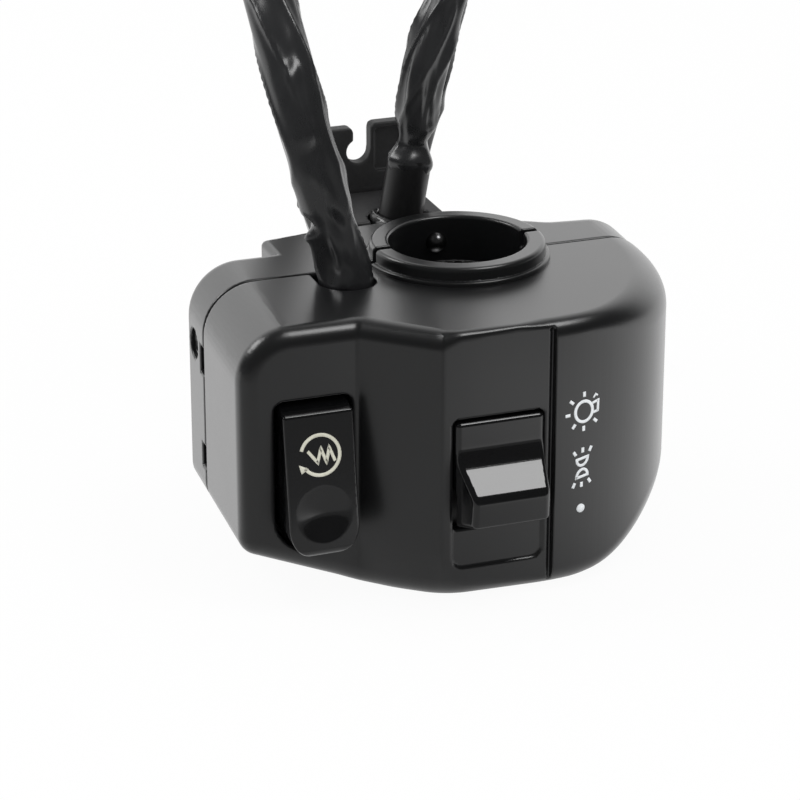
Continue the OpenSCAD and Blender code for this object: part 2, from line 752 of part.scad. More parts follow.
module start_contact()
    color([0.82, 0.64, 0.32])
        block([-button_x - 4.6, button_back, pad_z],
            [-button_x + 4.6, button_back + contact_t, pad_z + contact_h]);

// Tube of radius r swept along a list of points, with n sides
function unit(v) = v / max(norm(v), 1e-9);
function heading(path, i) =
    unit(path[min(i + 1, len(path) - 1)] - path[max(i - 1, 0)]);
function frame_up(path, i) =
    let (t = heading(path, i), s = abs(t[0]) < 0.9 ? [1, 0, 0] : [0, 1, 0])
    i == 0 ? unit(s - t * (s * t)) : let (u = frame_up(path, i - 1)) unit(u - t * (u * t));

module sweep(path, r, n) {
    rows = len(path);
    ups = [for (i = [0:rows - 1]) frame_up(path, i)];
    points = [for (i = [0:rows - 1], k = [0:n - 1])
        let (t = heading(path, i), u = ups[i], v = cross(t, u), a = 360 * k / n)
            path[i] + r * (cos(a) * u + sin(a) * v)];
    sides = [for (i = [0:rows - 2], k = [0:n - 1], half = [0, 1])
        let (a = i * n + k, b = i * n + (k + 1) % n)
            half == 0 ? [a, a + n, b] : [b, a + n, b + n]];
    ends = concat(
        [for (k = [1:n - 2]) [0, k, k + 1]],
        [for (k = [1:n - 2]) let (e = (rows - 1) * n) [e, e + k + 1, e + k]]
    );
    polyhedron(points, concat(sides, ends), convexity = 6);
}

// Coil spring along +Z from its foot, with curls turns
module coil(r, wire, h, curls)
    sweep([for (i = [0:8 * curls]) let (a = 45 * i)
        [r * cos(a), r * sin(a), wire / 2 + (h - wire) * i / (8 * curls)]], wire / 2, 6);

module start_spring()
    color([0.75, 0.75, 0.77])
        translate([-button_x, base_front - 0.2, spring_z]) rotate([90, 0, 0])
            coil(2.6, 0.6, base_front - button_back - 0.4, 5);

// Section of the slider knob along the middle, in Y and Z
module knob_section() {
    flat_y = -panel_y - 0.8;
    crest_y = -panel_y - hump_reach;
    flare_z = slider_edge - 4.8;
    polygon(concat(
        [[carrier_front, knob_z], [carrier_front, slider_edge], [flat_y + 0.6, slider_edge]],
        [[flat_y, slider_edge - 0.6]],
        arc(flat_y - flare_r, flare_z, flare_r, 0, -90, 8),
        arc(crest_y + 0.6, flare_z - flare_r - 0.6, 0.6, 90, 180, 3),
        arc(crest_y + 1, flare_z - flare_r - 3.6, 1, 180, 250, 3),
        [[-panel_y - move_gap, knob_z - 4.3], [-panel_y - move_gap, knob_z]]
    ));
}

module light_slider()
    color([0.035, 0.035, 0.04])
        along_x(-slider_x - slider_w / 2, -slider_x + slider_w / 2) knob_section();

module light_carrier()
    color([0.75, 0.73, 0.68])
        difference() {
            union() {
                block([-slider_x - carrier_half, carrier_front, carrier_foot],
                    [-slider_x + carrier_half, carrier_back, carrier_top]);
                block([-slider_x - 4.5, carrier_back, knob_z + 1],
                    [-slider_x + block_right, block_back, knob_z + 13]);
            }
            bar_x(carrier_back + 1.4, ball_z, ball_r + pivot_gap,
                -slider_x + block_right - 5, -slider_x + block_right + 1);
        }

module light_wiper()
    color([0.82, 0.64, 0.32])
        block([-slider_x - 4.4, block_back, knob_z + 4],
            [-slider_x + 4.4, block_back + wiper_t, knob_z + 8]);

module detent_ball()
    color([0.8, 0.8, 0.82])
        translate([-slider_x + block_right + 0.35, carrier_back + 1.4, ball_z]) sphere(ball_r);

module detent_spring()
    color([0.75, 0.75, 0.77])
        translate([-slider_x + block_right - 4.8, carrier_back + 1.4, ball_z]) rotate([0, 90, 0])
            coil(ball_r - 0.35, 0.4, 3.6, 4);

module light_base()
    color([0.35, 0.22, 0.12])
        difference() {
            union() {
                block([-slider_x - rail_in - rail_t, light_base_front, carrier_foot - slider_travel],
                    [-slider_x + rail_in + rail_t, light_base_back, carrier_top + 2]);
                for (side = [-1, 1])
                    translate([-slider_x + side * (rail_in + rail_t / 2), 0, 0])
                        block([-rail_t / 2, carrier_front + 1.6, carrier_foot - slider_travel],
                            [rail_t / 2, light_base_front + 1, carrier_top + 2]);
                for (z = EARS)
                    block([-slider_x + rail_in, light_base_front, z - 2.6],
                        [ear_x + 2.4, light_base_back, z + 2.6]);
            }
            // Detent grooves, one for each step
            for (i = [0:2])
                bar_y(-slider_x + rail_in + 0.5, ball_z - i * slider_travel / 2, ball_r + 0.1,
                    carrier_front, light_base_front);
            for (z = EARS)
                bar_y(ear_x, z, small_screw_r + small_gap, light_base_front - 1, light_base_back + 1);
            for (x = light_terminals)
                bar_y(-slider_x + x, ball_z - 3, 0.9, light_base_front - 1, light_base_back + 1);
        }

module light_contacts()
    color([0.82, 0.64, 0.32])
        for (x = light_terminals) {
            block([-slider_x + x - 1.1, light_base_front - strip_t, knob_z - 4],
                [-slider_x + x + 1.1, light_base_front, knob_z + 10]);
            bar_y(-slider_x + x, ball_z - 3, 0.8, light_base_front - 0.1, light_base_back + 1.2);
        }

module light_base_screws()
    color([0.6, 0.6, 0.62])
        for (z = EARS) {
            bar_y(ear_x, z, small_screw_r, light_base_front - 4.5, light_base_back);
            bar_y(ear_x, z, 1.9, light_base_back, light_base_back + 1.3);
        }

module lead_grommet()
    color([0.1, 0.1, 0.1])
        translate([main_x, main_y, grommet_foot])
            difference() {
                cylinder(r = grommet_r, h = case_h - wall - grommet_foot - 0.2);
                translate([0, 0, -1]) cylinder(r = main_d / 2 + 0.4, h = 20);
            }

// Two wires from the start terminals to the inner end of the main lead
module start_wires()
    color([0.7, 0.55, 0.1])
        for (side = [-1, 1])
            sweep([
                [-button_x + side * 3.2, base_back + 1.3, pad_z + 1.5],
                [-button_x + side * 3.2, base_back + 3, pad_z + 1.5],
                [-button_x + side * 3 + 1, -5.6, pad_z + 3.5 + side],
                [-27.5 + side * 1.6, -4.6, grommet_foot - 13.5],
                [-22 + side * 1.5, -4.7, grommet_foot - 7.5],
                [main_x + side * 1.2, main_y, grommet_foot + 0.4]
            ], wire_d / 2, 8);

// Three wires from the lighting contacts, round the bar, to the foot of the outlet tube
module lamp_wires()
    color([0.6, 0.1, 0.08])
        for (i = [0:2])
            let (
                x = -slider_x + light_terminals[i],
                z = ball_z - 3 + 2.2 * (1 - i),
                rise = channel_z - ball_z + 3,
                dz = 1.8 * (1 - i)
            )
                sweep([
                    [x, light_base_back + 1.3, ball_z - 3],
                    [x, light_base_back + 2.1, ball_z - 3],
                    [x - 0.5, light_base_back + 4, z],
                    [-13.5, -14.5, z],
                    [-17, -8, z + 0.02 * rise],
                    [-17.6, 0, z + 0.24 * rise],
                    [-16, 7, z + 0.48 * rise],
                    [-10, 13.6, z + 0.76 * rise],
                    [channel_x - 2.6, 15.6, channel_z - 1 + dz],
                    [channel_x, 16.6, channel_z + dz],
                    [channel_x, outlet_y - dz - 1.2, channel_z + dz + 0.2],
                    [channel_x + 0.5, outlet_y - dz, channel_z + dz / 2 + 2.2],
                    [channel_x + 0.7, outlet_y - dz, channel_z + 4.3]
                ], wire_d / 2, 8);

module main_lead() color([0.06, 0.06, 0.065]) sweep(MAIN_ROUTE, main_d / 2, 12);

module lamp_lead() color([0.06, 0.06, 0.065]) sweep(LAMP_ROUTE, lamp_d / 2, 12);

// A plug housing that lies on the floor at the end of a lead
module plug(end, d, long, wide, high, pins)
    translate([end[0], end[1], 0])
        difference() {
            union() {
                translate([0, 0, end[2]]) rotate([0, 90, 0]) cylinder(r = d / 2 + 0.2, h = 4);
                block([3, -wide / 2, 0], [long - 6, wide / 2, high]);
                block([long - 6, -wide / 2 - 1, 0], [long, wide / 2 + 1, high + 1]);
                block([6, -1.6, high], [long - 6, 1.6, high + 1.6]);
            }
            for (k = [0:pins - 1])
                translate([6, (k + 0.5) * wide / pins - wide / 2, high / 2])
                    rotate([0, 90, 0]) cylinder(r = 1, h = long);
        }

module main_connector() color([0.85, 0.84, 0.8]) plug(main_plug, main_d, 20, 14, 9, 4);

module lamp_connector() color([0.85, 0.84, 0.8]) plug(lamp_plug, lamp_d, 17, 11, 7.2, 3);

rear_shell();
front_shell();
case_screws();
locating_pin();
cable_bracket();
bracket_screws();
outlet_tube();
start_button();
start_pivot_pin();
start_spring();
start_contact();
start_base();
start_terminals();
start_base_screw();
light_slider();
light_carrier();
light_wiper();
detent_ball();
detent_spring();
light_base();
light_contacts();
light_base_screws();
lead_grommet();
start_wires();
lamp_wires();
main_lead();
main_connector();
lamp_lead();
lamp_connector();
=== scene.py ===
"""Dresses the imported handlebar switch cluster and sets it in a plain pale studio."""
import logging
import math
from dataclasses import dataclass
from enum import Enum
from typing import Callable, Optional, Sequence, Union

import bmesh
import bpy
import numpy as np
from mathutils import Matrix, Vector


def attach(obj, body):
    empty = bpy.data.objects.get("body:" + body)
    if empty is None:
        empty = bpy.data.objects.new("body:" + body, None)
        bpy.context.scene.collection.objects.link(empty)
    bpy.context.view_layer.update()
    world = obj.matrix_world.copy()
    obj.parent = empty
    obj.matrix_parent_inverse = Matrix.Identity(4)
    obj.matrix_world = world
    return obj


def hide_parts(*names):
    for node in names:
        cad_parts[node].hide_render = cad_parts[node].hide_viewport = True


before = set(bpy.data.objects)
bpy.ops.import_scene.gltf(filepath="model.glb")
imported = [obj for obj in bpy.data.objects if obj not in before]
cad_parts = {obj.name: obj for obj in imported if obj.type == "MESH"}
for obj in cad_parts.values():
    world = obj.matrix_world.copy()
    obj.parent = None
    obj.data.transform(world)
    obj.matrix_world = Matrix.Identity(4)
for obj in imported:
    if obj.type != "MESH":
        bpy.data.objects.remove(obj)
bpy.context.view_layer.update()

LOG = logging.getLogger("cluster")
MM = 0.001
Array = np.ndarray
Field = Callable[[Array, Array, Array], Array]
Flat = Callable[[Array, Array], Array]
Point = tuple[float, float]
Colour = tuple[float, float, float]
# The outlet tube's place on the front shell in millimetres, and its lean
OUTLET_X, OUTLET_Y, OUTLET_LEAN = -1.9, 22.0, math.radians(10)


class Body(Enum):
    """The bodies that pieces ride on."""
    CASE = "case"
    BUTTON = "start_button"
    SLIDER = "light_slider"


# Signed distances, in millimetres: below zero inside a form.

def both(a: Array, b: Array, r: float | Array = 0.0) -> Array:
    """What two forms share, with the edge between them rounded by r.

    Args:
        a: first distance.
        b: second distance.
        r: radius of the round along the edge.

    Returns:
        The distance to the shared form.
    """
    u, v = np.maximum(a + r, 0), np.maximum(b + r, 0)
    return np.minimum(np.maximum(a, b), -r) + np.hypot(u, v)


def either(a: Array, b: Array, r: float = 0.0) -> Array:
    """Two forms joined, with a fillet of radius r in the corner between them."""
    return -both(-a, -b, r)


def without(a: Array, b: Array, r: float = 0.0) -> Array:
    """The first form less the second, with the rim rounded by r."""
    return both(a, -b, r)


def slab(v: Array, low: float, high: float) -> Array:
    """Distance to the layer between two values."""
    return np.abs(v - (low + high) / 2) - (high - low) / 2


def ease(v: Array, low: float, high: float) -> Array:
    """A smooth step from 0 at low to 1 at high."""
    t = np.clip((v - low) / (high - low), 0, 1)
    return t * t * (3 - 2 * t)


def arc(cx: float, cy: float, r: float, a0: float, a1: float, n: int) -> list[Point]:
    """Points on an arc, with angles in degrees counted from the first axis."""
    turns = np.radians(np.linspace(a0, a1, n + 1))
    return [(cx + r * math.cos(a), cy + r * math.sin(a)) for a in turns]


def softened(corners: Sequence[tuple[float, float, float]], n: int = 8) -> list[Point]:
    """An outline whose corners are rounded.

    Args:
        corners: first axis, second axis and radius of each corner.
        n: steps in each round.

    Returns:
        The points of the closed outline.
    """
    out: list[Point] = []
    for i, (x, y, r) in enumerate(corners):
        here = Vector((x, y))
        back = (Vector(corners[i - 1][:2]) - here).normalized()
        on = (Vector(corners[(i + 1) % len(corners)][:2]) - here).normalized()
        half = back.angle(on) / 2
        if r <= 0 or half > 1.565:
            out.append((x, y))
            continue
        centre = here + (back + on).normalized() * (r / math.sin(half))
        first = here + back * (r / math.tan(half)) - centre
        last = here + on * (r / math.tan(half)) - centre
        turn = first.angle_signed(last)
        for k in range(n + 1):
            spoke = Matrix.Rotation(-turn * k / n, 2) @ first
            out.append((centre.x + spoke.x, centre.y + spoke.y))
    return out


def outline(points: Sequence[Point]) -> Flat:
    """Signed distance to a closed outline in a plane.

    Args:
        points: the outline's points in order.

    Returns:
        A function of the two axes.
    """
    pairs = list(zip(points, [*points[1:], points[0]]))

    def distance(u: Array, v: Array) -> Array:
        u, v = np.broadcast_arrays(u, v)
        best = np.full(u.shape, 1e9)
        odd = np.zeros(u.shape, bool)
        for (ax, ay), (bx, by) in pairs:
            ex, ey = bx - ax, by - ay
            span = ex * ex + ey * ey
            if span < 1e-12:
                continue
            t = np.clip(((u - ax) * ex + (v - ay) * ey) / span, 0, 1)
            best = np.minimum(best, (u - ax - t * ex) ** 2 + (v - ay - t * ey) ** 2)
            if ay != by:
                odd ^= ((v < ay) != (v < by)) & (u < ax + (v - ay) * ex / ey)
        return np.where(odd, -1, 1) * np.sqrt(best)

    return distance


def slope(form: Field, p: Array, step: float = 0.02) -> Array:
    """The direction in which a form's distance grows, at each point."""
    out = np.zeros_like(p)
    for k in range(3):
        d = np.zeros(3)
        d[k] = step
        out[:, k] = form(*(p + d).T) - form(*(p - d).T)
    return out / np.maximum(np.linalg.norm(out, axis=1), 1e-9)[:, None]


def seated(form: Field, p: Array, tries: int, reach: float) -> Array:
    """Moves points onto the surface of a form, by no more than reach in each try."""
    for _ in range(tries):
        p = p - slope(form, p) * np.clip(form(*p.T), -reach, reach)[:, None]
    return p


def skin(form: Field, low: Sequence[float], high: Sequence[float], cell: float) -> tuple[Array, Array]:
    """Meshes the surface of a form with one point in each grid cell that it crosses.

    Args:
        form: the signed distance.
        low: lowest corner of the grid.
        high: highest corner of the grid.
        cell: size of a grid cell.

    Returns:
        Points and the four-sided faces between them.
    """
    axes = [np.arange(a - cell, b + 1.5 * cell, cell) for a, b in zip(low, high)]
    x, y, z = np.meshgrid(*axes, indexing="ij", sparse=True)
    v = np.broadcast_to(form(x, y, z), tuple(len(a) for a in axes)).astype(np.float32)
    inside = v < 0
    size = tuple(n - 1 for n in v.shape)

    def part(a: Array, at: Sequence[int]) -> Array:
        return a[tuple(slice(o, o + n) for o, n in zip(at, size))]

    corners = [(i, j, k) for i in (0, 1) for j in (0, 1) for k in (0, 1)]
    count = sum(part(inside, c).astype(np.int8) for c in corners)
    cells = np.argwhere((count > 0) & (count < 8))
    index = np.full(size, -1, np.int64)
    index[tuple(cells.T)] = np.arange(len(cells))
    total, hits = np.zeros((len(cells), 3)), np.zeros(len(cells))
    for a in corners:
        for k in range(3):
            if a[k]:
                continue
            b = tuple(1 if m == k else a[m] for m in range(3))
            va, vb = v[tuple((cells + a).T)], v[tuple((cells + b).T)]
            cut = (va < 0) != (vb < 0)
            t = np.where(cut, va / np.where(cut, va - vb, 1), 0)
            spot = np.tile(np.array(a, float), (len(cells), 1))
            spot[:, k] = t
            total += np.where(cut[:, None], spot, 0)
            hits += cut
    start = np.array([a[0] for a in axes])
    points = start + (cells + total / hits[:, None]) * cell
    faces = []
    for k in range(3):
        m, n = (k + 1) % 3, (k + 2) % 3
        near, on = [slice(None)] * 3, [slice(None)] * 3
        near[k], on[k] = slice(None, -1), slice(1, None)
        change = inside[tuple(near)] != inside[tuple(on)]
        at = np.argwhere(change)
        at = at[(at[:, m] > 0) & (at[:, n] > 0) & (at[:, m] < size[m]) & (at[:, n] < size[n])]
        ring = []
        for dm, dn in ((0, 0), (1, 0), (1, 1), (0, 1)):
            spot = at.copy()
            spot[:, m] -= dm
            spot[:, n] -= dn
            ring.append(index[tuple(spot.T)])
        quad = np.stack(ring, 1)
        flip = ~inside[tuple(at.T)]
        quad[flip] = quad[flip][:, ::-1]
        faces.append(quad)
    return points, np.concatenate(faces)


def link(name: str, mesh: bpy.types.Mesh) -> bpy.types.Object:
    """Puts a mesh into the scene under a name."""
    piece = bpy.data.objects.new(name, mesh)
    bpy.context.scene.collection.objects.link(piece)
    return piece


def mesh_piece(name: str, points: Array, faces: Sequence[Sequence[int]]) -> bpy.types.Object:
    """Makes a smooth mesh object from points in millimetres."""
    mesh = bpy.data.meshes.new(name)
    mesh.from_pydata((np.asarray(points) * MM).tolist(), [], [tuple(f) for f in faces])
    mesh.validate()
    mesh.shade_smooth()
    return link(name, mesh)


def spots(mesh: bpy.types.Mesh) -> Array:
    """The points of a mesh, in millimetres."""
    flat = np.zeros(len(mesh.vertices) * 3)
    mesh.vertices.foreach_get("co", flat)
    return flat.reshape(-1, 3) / MM


def melted(mesh: bpy.types.Mesh, reach: float) -> None:
    """Joins the points of a mesh that lie closer than reach, in millimetres, and drops what that folds."""
    work = bmesh.new()
    work.from_mesh(mesh)
    bmesh.ops.remove_doubles(work, verts=work.verts, dist=reach * MM)
    bmesh.ops.dissolve_degenerate(work, edges=work.edges, dist=reach * MM / 10)
    bmesh.ops.triangulate(work, faces=[f for f in work.faces if len(f.verts) > 4])
    work.to_mesh(mesh)
    work.free()
    mesh.validate()


def moulded(name: str, form: Field, low: Sequence[float], high: Sequence[float], cell: float,
            keep: float) -> bpy.types.Object:
    """Makes a piece from a form, thinned where it is flat, with the form's own normals.

    Args:
        name: name of the piece.
        form: signed distance, in millimetres.
        low: lowest corner of the piece.
        high: highest corner of the piece.
        cell: size of the grid that it is meshed on.
        keep: share of the faces that stays.

    Returns:
        The new object.
    """
    points, faces = skin(form, low, high, cell)
    points = seated(form, points, 3, cell / 2)
    rough = mesh_piece(name + "_rough", points, faces.tolist())
    thin = rough.modifiers.new("thin", "DECIMATE")
    thin.ratio = keep
    bpy.context.view_layer.update()
    mesh = bpy.data.meshes.new_from_object(rough.evaluated_get(bpy.context.evaluated_depsgraph_get()))
    bpy.data.objects.remove(rough)
    mesh.name = name
    at = seated(form, spots(mesh), 2, cell / 4)
    mesh.vertices.foreach_set("co", (at * MM).ravel())
    melted(mesh, 0.02)
    mesh.update()
    mesh.normals_split_custom_set_from_vertices(slope(form, spots(mesh)).tolist())
    return link(name, mesh)


# Finishes

Operand = Union["Wire", float]


class Wire:
    """A socket's value in a shader, with arithmetic that adds Math nodes."""

    def __init__(self, shop: "Shader", socket: bpy.types.NodeSocket) -> None:
        """Wraps an output socket of a shader's tree."""
        self.shop, self.socket = shop, socket

    def _math(self, kind: str, a: Operand, b: Operand = 0.0, clamp: bool = False) -> "Wire":
        """Adds one Math node."""
        return self.shop.node("ShaderNodeMath", {"operation": kind, "use_clamp": clamp}, {0: a, 1: b})

    def __add__(self, other: Operand) -> "Wire":
        """Sum."""
        return self._math("ADD", self, other)

    __radd__ = __add__

    def __sub__(self, other: Operand) -> "Wire":
        """Difference."""
        return self._math("SUBTRACT", self, other)

    def __rsub__(self, other: Operand) -> "Wire":
        """Difference from a number."""
        return self._math("SUBTRACT", other, self)

    def __mul__(self, other: Operand) -> "Wire":
        """Product."""
        return self._math("MULTIPLY", self, other)

    __rmul__ = __mul__

    def held(self) -> "Wire":
        """The value kept between 0 and 1."""
        return self._math("ADD", self, 0.0, True)

    def larger(self, other: Operand) -> "Wire":
        """The larger of two values."""
        return self._math("MAXIMUM", self, other)

    def step(self, low: float, high: float) -> "Wire":
        """A smooth step from 0 at low to 1 at high."""
        return self.shop.node("ShaderNodeMapRange", {"interpolation_type": "SMOOTHSTEP"},
                              {"Value": self, "From Min": low, "From Max": high})

    def between(self, first: Colour, last: Colour) -> "Wire":
        """A colour that runs from first to last as the value runs from 0 to 1."""
        return self.shop.node("ShaderNodeMix", {"data_type": "RGBA"},
                              {"Factor": self, 6: (*first, 1), 7: (*last, 1)}, 2)


class Shader:
    """Builds the nodes of one material or world."""

    def __init__(self, tree: bpy.types.NodeTree) -> None:
        """Starts on an empty tree."""
        self.tree = tree
        tree.nodes.clear()

    def node(self, kind: str, settings: Optional[dict] = None, inputs: Optional[dict] = None,
             out: int | str = 0) -> Wire:
        """Adds a node.

        Args:
            kind: the node's type.
            settings: properties that are set first.
            inputs: values or wires by socket.
            out: the output that is handed back.

        Returns:
            The chosen output.
        """
        made = self.tree.nodes.new(kind)
        for key, value in (settings or {}).items():
            setattr(made, key, value)
        for key, value in (inputs or {}).items():
            if isinstance(value, Wire):
                self.tree.links.new(value.socket, made.inputs[key])
            else:
                made.inputs[key].default_value = value
        return Wire(self, made.outputs[out] if made.outputs else None)

    def place(self) -> Wire:
        """The point on the piece, in metres."""
        return self.node("ShaderNodeTexCoord", out="Object")

    def noise(self, scale: float, detail: float, stretch: Colour = (1, 1, 1), seed: float = 0.0) -> Wire:
        """Soft noise, with scale in waves to the metre."""
        at = self.node("ShaderNodeMapping", {}, {"Vector": self.place(), "Scale": stretch,
                                                 "Location": (seed, seed * 0.7, seed * 0.3)})
        return self.node("ShaderNodeTexNoise", {}, {"Vector": at, "Scale": scale, "Detail": detail}, "Fac")

    def along(self, point: Wire, way: Colour) -> Wire:
        """How far a point lies along a direction."""
        return self.node("ShaderNodeVectorMath", {"operation": "DOT_PRODUCT"}, {0: point, 1: way}, "Value")

    def bump(self, height: Wire, depth: float) -> Wire:
        """A normal that is tipped by a height, with depth in metres."""
        return self.node("ShaderNodeBump", {}, {"Height": height, "Distance": depth, "Strength": 1.0})

    def mix(self, share: Wire, first: Wire, last: Wire) -> Wire:
        """Two shaders mixed."""
        return self.node("ShaderNodeMixShader", {}, {0: share, 1: first, 2: last})


class Grain(Enum):
    """Kinds of surface texture: waves to the metre, depth in metres, and stretch along each axis."""
    SPARK = (2600.0, 0.000002, (1, 1, 1))
    POLISH = (260.0, 0.00002, (1, 1, 1))
    FILM = (420.0, 0.00003, (1, 1, 0.5))
    CAST = (1300.0, 0.00003, (1, 1, 1))
    BRUSH = (1500.0, 0.00001, (0.15, 1, 1))
    MATT = (900.0, 0.00001, (1, 1, 1))


@dataclass(frozen=True)
class Finish:
    """A surface finish: its two tones, gloss and texture."""
    name: str
    dark: Colour
    light: Colour
    rough: float
    spread: float
    grain: Grain
    metal: float = 0.0
    coat: float = 0.0
    coat_rough: float = 0.08

    def material(self) -> bpy.types.Material:
        """The finish as a material, made once."""
        title = "finish_" + self.name
        known = bpy.data.materials.get(title)
        if known:
            return known
        made = bpy.data.materials.new(title)
        made.use_nodes = True
        made.diffuse_color = (*self.dark, 1)
        shop = Shader(made.node_tree)
        scale, depth, stretch = self.grain.value
        broad = shop.noise(60.0, 2.0, seed=0.3)
        fine = shop.noise(scale, 4.0, stretch, 0.11)
        rough = (self.rough + (broad - 0.5) * self.spread + (fine - 0.5) * self.spread).held()
        tone = (broad * 0.6 + fine * 0.4).step(0.3, 0.7)
        surface = shop.node("ShaderNodeBsdfPrincipled", {}, {
            "Base Color": tone.between(self.dark, self.light), "Roughness": rough,
            "Metallic": self.metal, "Coat Weight": self.coat, "Coat Roughness": self.coat_rough,
            "Normal": shop.bump(fine, depth)})
        shop.node("ShaderNodeOutputMaterial", {}, {"Surface": surface})
        return made


CASE_PLASTIC = Finish("case_plastic", (0.004, 0.0042, 0.0046), (0.0055, 0.0058, 0.0063), 0.32, 0.06,
                      Grain.SPARK, coat=0.85, coat_rough=0.26)
GLOSS_PLASTIC = Finish("gloss_plastic", (0.003, 0.0031, 0.0034), (0.004, 0.0041, 0.0045), 0.12, 0.05,
                       Grain.POLISH, coat=0.6)
SLEEVE_FILM = Finish("sleeve_film", (0.013, 0.0133, 0.0142), (0.02, 0.0205, 0.0217), 0.28, 0.12, Grain.FILM,
                     coat=0.5, coat_rough=0.2)
OUTLET_RUBBER = Finish("outlet_rubber", (0.006, 0.006, 0.0065), (0.009, 0.009, 0.0095), 0.38, 0.1, Grain.MATT)
BRACKET_PAINT = Finish("bracket_paint", (0.02, 0.02, 0.0205), (0.032, 0.032, 0.033), 0.5, 0.16, Grain.CAST)
PLATED_STEEL = Finish("plated_steel", (0.5, 0.5, 0.51), (0.62, 0.62, 0.63), 0.32, 0.16, Grain.BRUSH,
                      metal=1.0)
DARK_STEEL = Finish("dark_steel", (0.12, 0.12, 0.122), (0.17, 0.17, 0.173), 0.24, 0.08, Grain.POLISH,
                    metal=1.0)
SPRING_WIRE = Finish("spring_wire", (0.55, 0.55, 0.57), (0.68, 0.68, 0.7), 0.26, 0.1, Grain.BRUSH, metal=1.0)
BRASS = Finish("stamped_brass", (0.62, 0.44, 0.17), (0.78, 0.58, 0.27), 0.3, 0.14, Grain.BRUSH, metal=1.0)
PHENOLIC = Finish("brown_insulator", (0.12, 0.055, 0.025), (0.2, 0.1, 0.05), 0.45, 0.12, Grain.MATT)
NYLON = Finish("white_nylon", (0.6, 0.59, 0.54), (0.72, 0.71, 0.66), 0.42, 0.1, Grain.MATT)
WIRE_YELLOW = Finish("wire_yellow", (0.6, 0.4, 0.03), (0.7, 0.5, 0.06), 0.3, 0.08, Grain.POLISH)
WIRE_RED = Finish("wire_red", (0.4, 0.03, 0.02), (0.5, 0.05, 0.04), 0.3, 0.08, Grain.POLISH)
CREAM_PAINT = Finish("cream_sign", (0.62, 0.61, 0.5), (0.74, 0.73, 0.62), 0.38, 0.1, Grain.MATT)
WHITE_PAINT = Finish("white_sign", (0.84, 0.87, 0.9), (0.9, 0.93, 0.95), 0.45, 0.1, Grain.MATT)


def dress(piece: bpy.types.Object, finish: Finish, body: Body, slot: Optional[str],
          *nodes: str) -> bpy.types.Object:
    """Gives a new piece its finish and body, and hides the CAD nodes that it stands for.

    Args:
        piece: the new object.
        finish: its finish.
        body: the body that it rides on.
        slot: the record's material slot, if it has one; it is not used.
        nodes: CAD nodes that it replaces.

    Returns:
        The same object.
    """
    piece.data.materials.clear()
    piece.data.materials.append(finish.material())
    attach(piece, body.value)
    if nodes:
        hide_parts(*nodes)
    LOG.info("%s: %d faces", piece.name, len(piece.data.polygons))
    return piece


# Sub-assemblies

